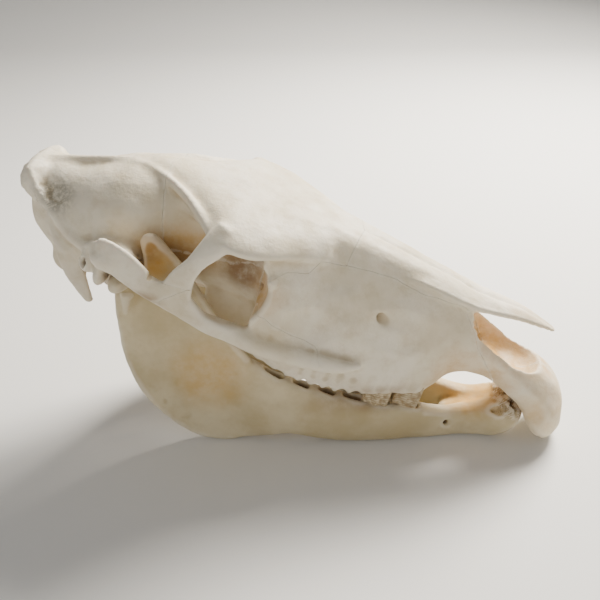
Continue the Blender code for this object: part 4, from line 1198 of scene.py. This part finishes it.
def bone_finish(name, top, shade, colours):
    """Dry weathered bone, IOR 1.55: chalky, with light that sinks in a little, painted shade in its hollows
    and creases, a painted highlight on its rims, and patches of stain, painted glow and painted shade.

    Its fine pores and hair cracks only show up close.
    """
    material, tree, shader = blank_material(name)
    place = node(tree, "ShaderNodeTexCoord", {}, "Object")
    warm_stain_glow_and_shade, earth_and_shade, weathered, hidden, crease = (
        node(tree, "ShaderNodeAttribute", {}, "Fac", attribute_name=key)
        for key in ("warm_stain_glow_and_shade", "earth_and_shade", "weathered", "hidden", "crease"))
    # Broad tints 70 mm across, blotches 16 mm, specks 3.2 mm and pores 0.9 mm.
    broad, blotch, speck, pores = (
        node(tree, "ShaderNodeTexNoise", {
            "Vector": place, "Scale": 1 / (size * MM), "Detail": detail, "Roughness": rough,
        }, "Fac")
        for size, detail, rough in ((70, 4, 0.55), (16, 5, 0.65), (3.2, 4, 0.6), (0.9, 3, 0.7)))
    # How strongly the painted shade in hollows shows, rising with how hidden each point is.
    deep = node(tree, "ShaderNodeMapRange", {"Value": hidden, "From Min": 0.34, "From Max": 0.85},
                interpolation_type="SMOOTHSTEP")
    colour = layered(tree, top, (
        (broad, 0.35, 0.68, 0, 1, None, 1.0, shade, "MIX"),
        (blotch, 0.42, 0.75, 0, 1, None, 0.34, colours.aged_and_crease_shade, "MIX"),
        # Painted glow and painted brownish shade, partly soil stain, from the yellow-brown patches.
        (blotch, 0.2, 0.75, 0.45, 1, warm_stain_glow_and_shade, 0.92, colours.ochre_stain_glow_and_shade, "MIX"),
        # Soil stain and painted shade, from the soil-brown patches.
        (blotch, 0.2, 0.55, 0.3, 1, earth_and_shade, 0.9, colours.earth_and_shade, "MIX"),
        (speck, 0.3, 0.6, 0.35, 1, weathered, 0.8, colours.weathered, "MIX"),
        # Painted shade: soil brown multiplied in where the bone around hides the sky.
        (speck, 0.2, 0.6, 0.7, 1, deep, 0.85, colours.earth_and_shade, "MULTIPLY"),
        # Painted shade: concave creases darkened.
        (crease, 0.56, 0.85, 0, 1, None, 0.45, colours.aged_and_crease_shade, "MULTIPLY"),
        # Painted highlight: convex rims lightened.
        (crease, 0.08, 0.40, 0.45, 0, None, 1.0, colours.bleached_and_rim_highlight, "MIX"),
    ))
    tree.links.new(colour, shader.inputs["Base Color"])

    # Hair cracks run along the bone, about 6 mm apart.
    along = node(tree, "ShaderNodeMapping", {"Vector": place, "Scale": (0.18, 1.0, 1.0)})
    cells = node(tree, "ShaderNodeTexVoronoi", {"Vector": along, "Scale": 1 / (6 * MM)}, "Distance",
                 feature="DISTANCE_TO_EDGE")
    line = node(tree, "ShaderNodeMapRange", {
        "Value": cells, "From Min": 0.0, "From Max": 0.035, "To Min": 1.0, "To Max": 0.0,
    }, interpolation_type="SMOOTHSTEP")
    here = node(tree, "ShaderNodeMapRange", {"Value": blotch, "From Min": 0.52, "From Max": 0.66},
                interpolation_type="SMOOTHSTEP")
    crack = node(tree, "ShaderNodeMath", {0: line, 1: here}, operation="MULTIPLY")
    pitted = node(tree, "ShaderNodeMath", {0: pores, 1: 0.5}, operation="MULTIPLY")
    height = node(tree, "ShaderNodeMath", {0: pitted, 1: crack}, operation="SUBTRACT")
    fine = node(tree, "ShaderNodeBump", {"Strength": 0.25, "Distance": 0.0004, "Height": height})
    coarse = node(tree, "ShaderNodeBump", {
        "Strength": 0.35, "Distance": 0.0012, "Height": speck, "Normal": fine,
    })
    tree.links.new(coarse, shader.inputs["Normal"])
    rough = node(tree, "ShaderNodeMapRange", {
        "Value": blotch, "From Min": 0.3, "From Max": 0.7, "To Min": 0.52, "To Max": 0.70,
    }, interpolation_type="SMOOTHSTEP")
    tree.links.new(rough, shader.inputs["Roughness"])
    shader.inputs["IOR"].default_value = 1.55
    shader.inputs["Specular IOR Level"].default_value = 0.35
    shader.inputs["Subsurface Weight"].default_value = 0.06
    shader.inputs["Subsurface Radius"].default_value = (1.0, 0.55, 0.28)
    shader.inputs["Subsurface Scale"].default_value = 0.006
    return material


def tooth_finish(colours):
    """Worn tooth, IOR 1.62: hard enamel that shines a little, stained brown in lines round the crown."""
    material, tree, shader = blank_material("worn_tooth_enamel")
    place = node(tree, "ShaderNodeTexCoord", {}, "Object")
    stain = node(tree, "ShaderNodeTexNoise", {"Vector": place, "Scale": 1 / (5 * MM), "Detail": 5.0}, "Fac")
    # Growth lines about 2.5 mm apart: the wave's own period is 0.31 of its scale.
    lines = node(tree, "ShaderNodeTexWave", {
        "Vector": place, "Scale": 1 / (8 * MM), "Distortion": 0.6, "Detail": 1.0, "Detail Scale": 1.0,
    }, "Fac", bands_direction="Z")
    colour = layered(tree, colours.enamel, (
        (stain, 0.35, 0.7, 0, 1, None, 1.0, colours.dentine, "MIX"),
        (lines, 0.6, 1.0, 0, 1, None, 0.5, colours.earth_and_shade, "MIX"),
    ))
    tree.links.new(colour, shader.inputs["Base Color"])
    bump = node(tree, "ShaderNodeBump", {"Strength": 0.4, "Distance": 0.0008, "Height": lines})
    tree.links.new(bump, shader.inputs["Normal"])
    shader.inputs["Roughness"].default_value = 0.42
    shader.inputs["IOR"].default_value = 1.62
    return material


def floor_finish(colour):
    """Matte seamless paper: plain, pale and without gloss."""
    material, _, shader = blank_material("backdrop_paper")
    shader.inputs["Base Color"].default_value = (*colour, 1.0)
    shader.inputs["Roughness"].default_value = 0.9
    return material


# Placing

def resting_matrix(tipped):
    """From a shaping frame to the row frame, in metres."""
    settle = Matrix.Translation((-BOX_MIDDLE_X * MM, 0, 0))
    if not tipped:
        return settle
    tip = Matrix.Rotation(math.radians(PALATE_SLOPE_DEG), 4, "Y")
    return settle @ Matrix.Translation([c * MM for c in PREMOLAR_FRONT]) @ tip


def tucked_in(points):
    """Eases the outermost few millimetres inwards, so that fine relief stays inside the solids' box."""
    low, high = (np.array(corner) for corner in CAD_BOX)
    band, proud = 4 * MM, 3 * MM
    share = band / (band + proud)
    over = np.maximum(points - (high - band), 0)
    under = np.maximum(low + band - points, 0)
    under[:, 2] = 0
    return points - over * (1 - share) + under * (1 - share)


def place(obj, name, matrix, material):
    obj.data.transform(matrix)
    write_points(obj.data, tucked_in(read_points(obj.data)))
    obj.name = obj.data.name = name
    obj.data.materials.clear()
    obj.data.materials.append(material)
    obj.data.shade_smooth()
    obj.data.set_sharp_from_angle(angle=math.radians(SHARP_EDGE_DEG))
    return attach(obj, "root")


def shifted(patches):
    return {
        key: [((c[0] - BOX_MIDDLE_X, c[1], c[2]), radii, strength) for c, radii, strength in spots]
        for key, spots in patches.items()
    }


def tree_of(objects):
    points, faces, start = [], [], 0
    for obj in objects:
        matrix = obj.matrix_world
        points += [matrix @ vert.co for vert in obj.data.vertices]
        faces += [[i + start for i in face.vertices] for face in obj.data.polygons]
        start += len(obj.data.vertices)
    return BVHTree.FromPolygons(points, faces)


# What a user can change

class SkullShape(bpy.types.PropertyGroup):
    voxel: FloatProperty(
        name="Mesh fineness", description="Edge length of the modelled mesh, in millimetres",
        default=1.5, min=1, max=4)
    suture_width: FloatProperty(
        name="Suture width", description="Gap between two bones, in millimetres",
        default=0.22, min=0.2, max=1)
    seam_wander: FloatProperty(
        name="Suture wander", description="How far a suture strays from its line, in millimetres",
        default=0.9, min=0, max=3)
    crest_roughness: FloatProperty(
        name="Crest roughness",
        description="Height of the rough bone at the back of the head, in millimetres",
        default=1.1, min=0, max=3)
    crown_bottom: FloatProperty(
        name="Crown reach",
        description="How far the upper premolars reach below the palate line, in millimetres",
        default=-19.0, min=-22, max=-8)


def colour_property(name, description, hex_colour):
    return FloatVectorProperty(
        name=name, description=description, subtype="COLOR", size=3, min=0, max=1, default=linear(hex_colour))


class SkullColours(bpy.types.PropertyGroup):
    # This colour also gives the painted highlight on convex rims.
    bleached_and_rim_highlight: colour_property("Bleached bone", "Bone the sun has whitened", "#EBE2CE")
    ivory: colour_property("Ivory bone", "Bone between bleached and aged", "#D8CBAF")
    # This colour also gives the painted shade in concave creases.
    aged_and_crease_shade: colour_property("Aged bone", "Yellowed bone", "#BBA67C")
    jaw: colour_property("Jaw bone", "The lower jaw, less bleached than the rest", "#D9CBA8")
    jaw_shade: colour_property("Jaw shade", "The darker parts of the lower jaw", "#BFAE86")
    # Besides soil stain, this colour gives a painted glow on thin bone and a painted brownish shade in the
    # temporal fossae and orbits.
    ochre_stain_glow_and_shade: colour_property("Ochre", "Warm tint of thin bone and of bone dyed by soil", "#C9973F")
    # Besides soil stain and the teeth's growth lines, this colour gives the painted shade in hollows and in
    # many of the soil-brown patches.
    earth_and_shade: colour_property("Earth", "Brown grime in hollows and sockets", "#86643F")
    weathered: colour_property("Weathered bone", "Grey porous bone at the back of the head", "#8E8878")
    enamel: colour_property("Enamel", "Tooth enamel", "#CBBB98")
    dentine: colour_property("Dentine", "Stained tooth", "#8F7650")
    floor: colour_property("Floor", "Backdrop paper", "#E9E7E2")


class Look:
    """The chosen sizes as plain numbers."""

    def __init__(self, scene):
        shape = scene.skull_shape
        self.voxel = shape.voxel
        self.rays = FULL_RAYS
        self.suture_width = shape.suture_width
        self.seam_wander = shape.seam_wander
        self.crest_roughness = shape.crest_roughness
        self.crown_bottom = shape.crown_bottom


class SKULL_OT_cranium(bpy.types.Operator):
    """Models the cranium whole and parts it into its bones along the sutures"""

    bl_idname = "skull.cranium"
    bl_label = "Cranium Bones"

    def execute(self, context):
        look, colours = Look(context.scene), context.scene.skull_colours
        bones = part_at_sutures(shaped_cranium(look), look)
        material = bone_finish("sun_bleached_bone", colours.bleached_and_rim_highlight, colours.ivory, colours)
        for name, bone in bones.items():
            place(bone, name + "_bone", resting_matrix(True), material)
            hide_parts(name)
        return {"FINISHED"}


class SKULL_OT_teeth(bpy.types.Operator):
    """Models the upper premolars that are left in their sockets"""

    bl_idname = "skull.teeth"
    bl_label = "Upper Premolars"

    def execute(self, context):
        look = Look(context.scene)
        material = tooth_finish(context.scene.skull_colours)
        for number, (name, x, y, long, wide) in enumerate(UPPER_TEETH):
            if name not in KEPT_TEETH:
                continue
            for side, word in ((1, "left"), (-1, "right")):
                clay = Clay()
                bottom = look.crown_bottom - 0.4 * number + 0.3 * side
                points, faces = cheek_tooth(x, y, long - 1.0, wide, bottom, 8, 3 * number + side + 1)
                if side < 0:
                    points, faces = points * (1, -1, 1), [tuple(reversed(face)) for face in faces]
                clay.add((points, faces))
                tooth = clay.into_object("tooth")
                place(tooth, f"premolar_{name[1]}_{word}", resting_matrix(True), material)
        return {"FINISHED"}


class SKULL_OT_jaw(bpy.types.Operator):
    """Models the lower jaw on the floor"""

    bl_idname = "skull.jaw"
    bl_label = "Lower Jaw"

    def execute(self, context):
        colours = context.scene.skull_colours
        bone = shaped_jaw(Look(context.scene))
        material = bone_finish("stained_jaw_bone", colours.jaw, colours.jaw_shade, colours)
        place(bone, "mandible_bone", resting_matrix(False), material)
        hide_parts("mandible")
        return {"FINISHED"}


class SKULL_OT_ageing_and_shade(bpy.types.Operator):
    """Marks where painted shade, painted highlight, painted glow, stain and weathering lie on the bones"""

    bl_idname = "skull.ageing"
    bl_label = "Ageing and Shade"

    def execute(self, context):
        look = Look(context.scene)
        bones = [obj for obj in context.scene.objects if obj.name.endswith("_bone")]
        tree = tree_of(bones)
        for seed, bone in enumerate(bones):
            patches = JAW_PATCHES if bone.name.startswith("mandible") else CRANIUM_PATCHES
            mask_points(bone, tree, shifted(patches), look, seed)
        return {"FINISHED"}


# The stage, in metres: the paper's line from front to back, and where the soft boxes stand.
BACKDROP = ((-3.0, 0.0), (1.6, 0.0), (2.1, 0.08), (2.5, 0.35), (2.7, 0.9), (2.75, 2.6))
BACKDROP_HALF = 4.0
SKY_COLOUR, SKY_STRENGTH = (0.97, 0.98, 1.0, 1.0), 0.30
LIGHT_AIM = (0, 0, 0.13)
# Name, place, size, power in watts and colour.
SOFT_LIGHTS = (
    ("key", (0.62, 0.95, 1.15), 0.7, 98, (1.0, 0.95, 0.87)),
    ("fill", (-0.6, -1.4, 0.8), 1.4, 5, (1.0, 0.98, 0.94)),
)


class SKULL_OT_stage(bpy.types.Operator):
    """Sets the floor, the soft lights and the camera"""

    bl_idname = "skull.stage"
    bl_label = "Floor, Lights and Camera"

    def execute(self, context):
        scene = context.scene
        paper = floor_finish(scene.skull_colours.floor)
        mesh = bpy.data.meshes.new("floor")
        points = [(x, y, z) for y, z in BACKDROP for x in (-BACKDROP_HALF, BACKDROP_HALF)]
        faces = [(i, i + 1, i + 3, i + 2) for i in range(0, len(points) - 2, 2)]
        mesh.from_pydata(points, [], faces)
        mesh.materials.append(paper)
        mesh.shade_smooth()
        floor = bpy.data.objects.new("floor", mesh)
        scene.collection.objects.link(floor)
        world = bpy.data.worlds.new("studio")
        scene.world = world
        world.use_nodes = True
        sky = world.node_tree.nodes["Background"]
        sky.inputs["Color"].default_value = SKY_COLOUR
        sky.inputs["Strength"].default_value = SKY_STRENGTH
        for light in SOFT_LIGHTS:
            soft_light(scene, *light)
        photo_camera(scene)
        return {"FINISHED"}


def soft_light(scene, name, place_at, size, power, colour):
    """A square soft box that faces the skull."""
    light = bpy.data.lights.new(name, "AREA")
    light.size, light.energy, light.color = size, power, colour
    obj = bpy.data.objects.new(name, light)
    obj.location = place_at
    obj.rotation_euler = (Vector(LIGHT_AIM) - obj.location).to_track_quat("-Z", "Y").to_euler()
    scene.collection.objects.link(obj)


# The camera: its direction, roll, distance and offsets, fitted to the photo for a 600 px wide frame.
AZIMUTH_DEG, ELEVATION_DEG, ROLL_DEG = 10.0, 32.49, -2.5
DISTANCE, OFFSET_RIGHT, OFFSET_UP = 0.66304, 0.00878, -0.00262
FOCAL_PX, FRAME_PX, SENSOR_MM = 700, 600, 36
AIM = (0.0, 0.0, 0.140)


def photo_camera(scene):
    a, e, r = (math.radians(angle) for angle in (AZIMUTH_DEG, ELEVATION_DEG, ROLL_DEG))
    back = Vector((math.sin(a) * math.cos(e), -math.cos(a) * math.cos(e), math.sin(e)))
    level = Vector((math.cos(a), math.sin(a), 0))
    rise = back.cross(level)
    right = level * math.cos(r) + rise * math.sin(r)
    up = rise * math.cos(r) - level * math.sin(r)
    data = bpy.data.cameras.new("photo_camera")
    data.sensor_width = SENSOR_MM
    data.lens = FOCAL_PX / FRAME_PX * SENSOR_MM
    data.shift_y = -1 / FRAME_PX
    camera = bpy.data.objects.new("photo_camera", data)
    turn = Matrix((right, up, back)).transposed().to_4x4()
    aim = Vector(AIM) - Vector((BOX_MIDDLE_X * MM, 0, 0))
    turn.translation = aim + back * DISTANCE + right * OFFSET_RIGHT + up * OFFSET_UP
    camera.matrix_world = turn
    scene.collection.objects.link(camera)
    scene.camera = camera


class SKULL_PT_panel(bpy.types.Panel):
    """Lists the steps that make the skull"""

    bl_label = "Zebra Skull"
    bl_idname = "SKULL_PT_panel"
    bl_space_type = "VIEW_3D"
    bl_region_type = "UI"
    bl_category = "Zebra Skull"

    def draw(self, context):
        for group in (context.scene.skull_shape, context.scene.skull_colours):
            box = self.layout.box()
            for key in group.bl_rna.properties.keys():
                if key not in ("rna_type", "name"):
                    box.prop(group, key)
        for step in STEPS:
            self.layout.operator(step.bl_idname)


STEPS = (SKULL_OT_cranium, SKULL_OT_teeth, SKULL_OT_jaw, SKULL_OT_ageing_and_shade, SKULL_OT_stage)
CLASSES = (SkullShape, SkullColours, *STEPS, SKULL_PT_panel)


def register():
    for cls in CLASSES:
        bpy.utils.register_class(cls)
    bpy.types.Scene.skull_shape = PointerProperty(type=SkullShape)
    bpy.types.Scene.skull_colours = PointerProperty(type=SkullColours)


def unregister():
    del bpy.types.Scene.skull_shape
    del bpy.types.Scene.skull_colours
    for cls in reversed(CLASSES):
        bpy.utils.unregister_class(cls)


def main():
    register()
    for step in STEPS:
        group, action = step.bl_idname.split(".")
        getattr(getattr(bpy.ops, group), action)()


if __name__ == "__main__":
    main()
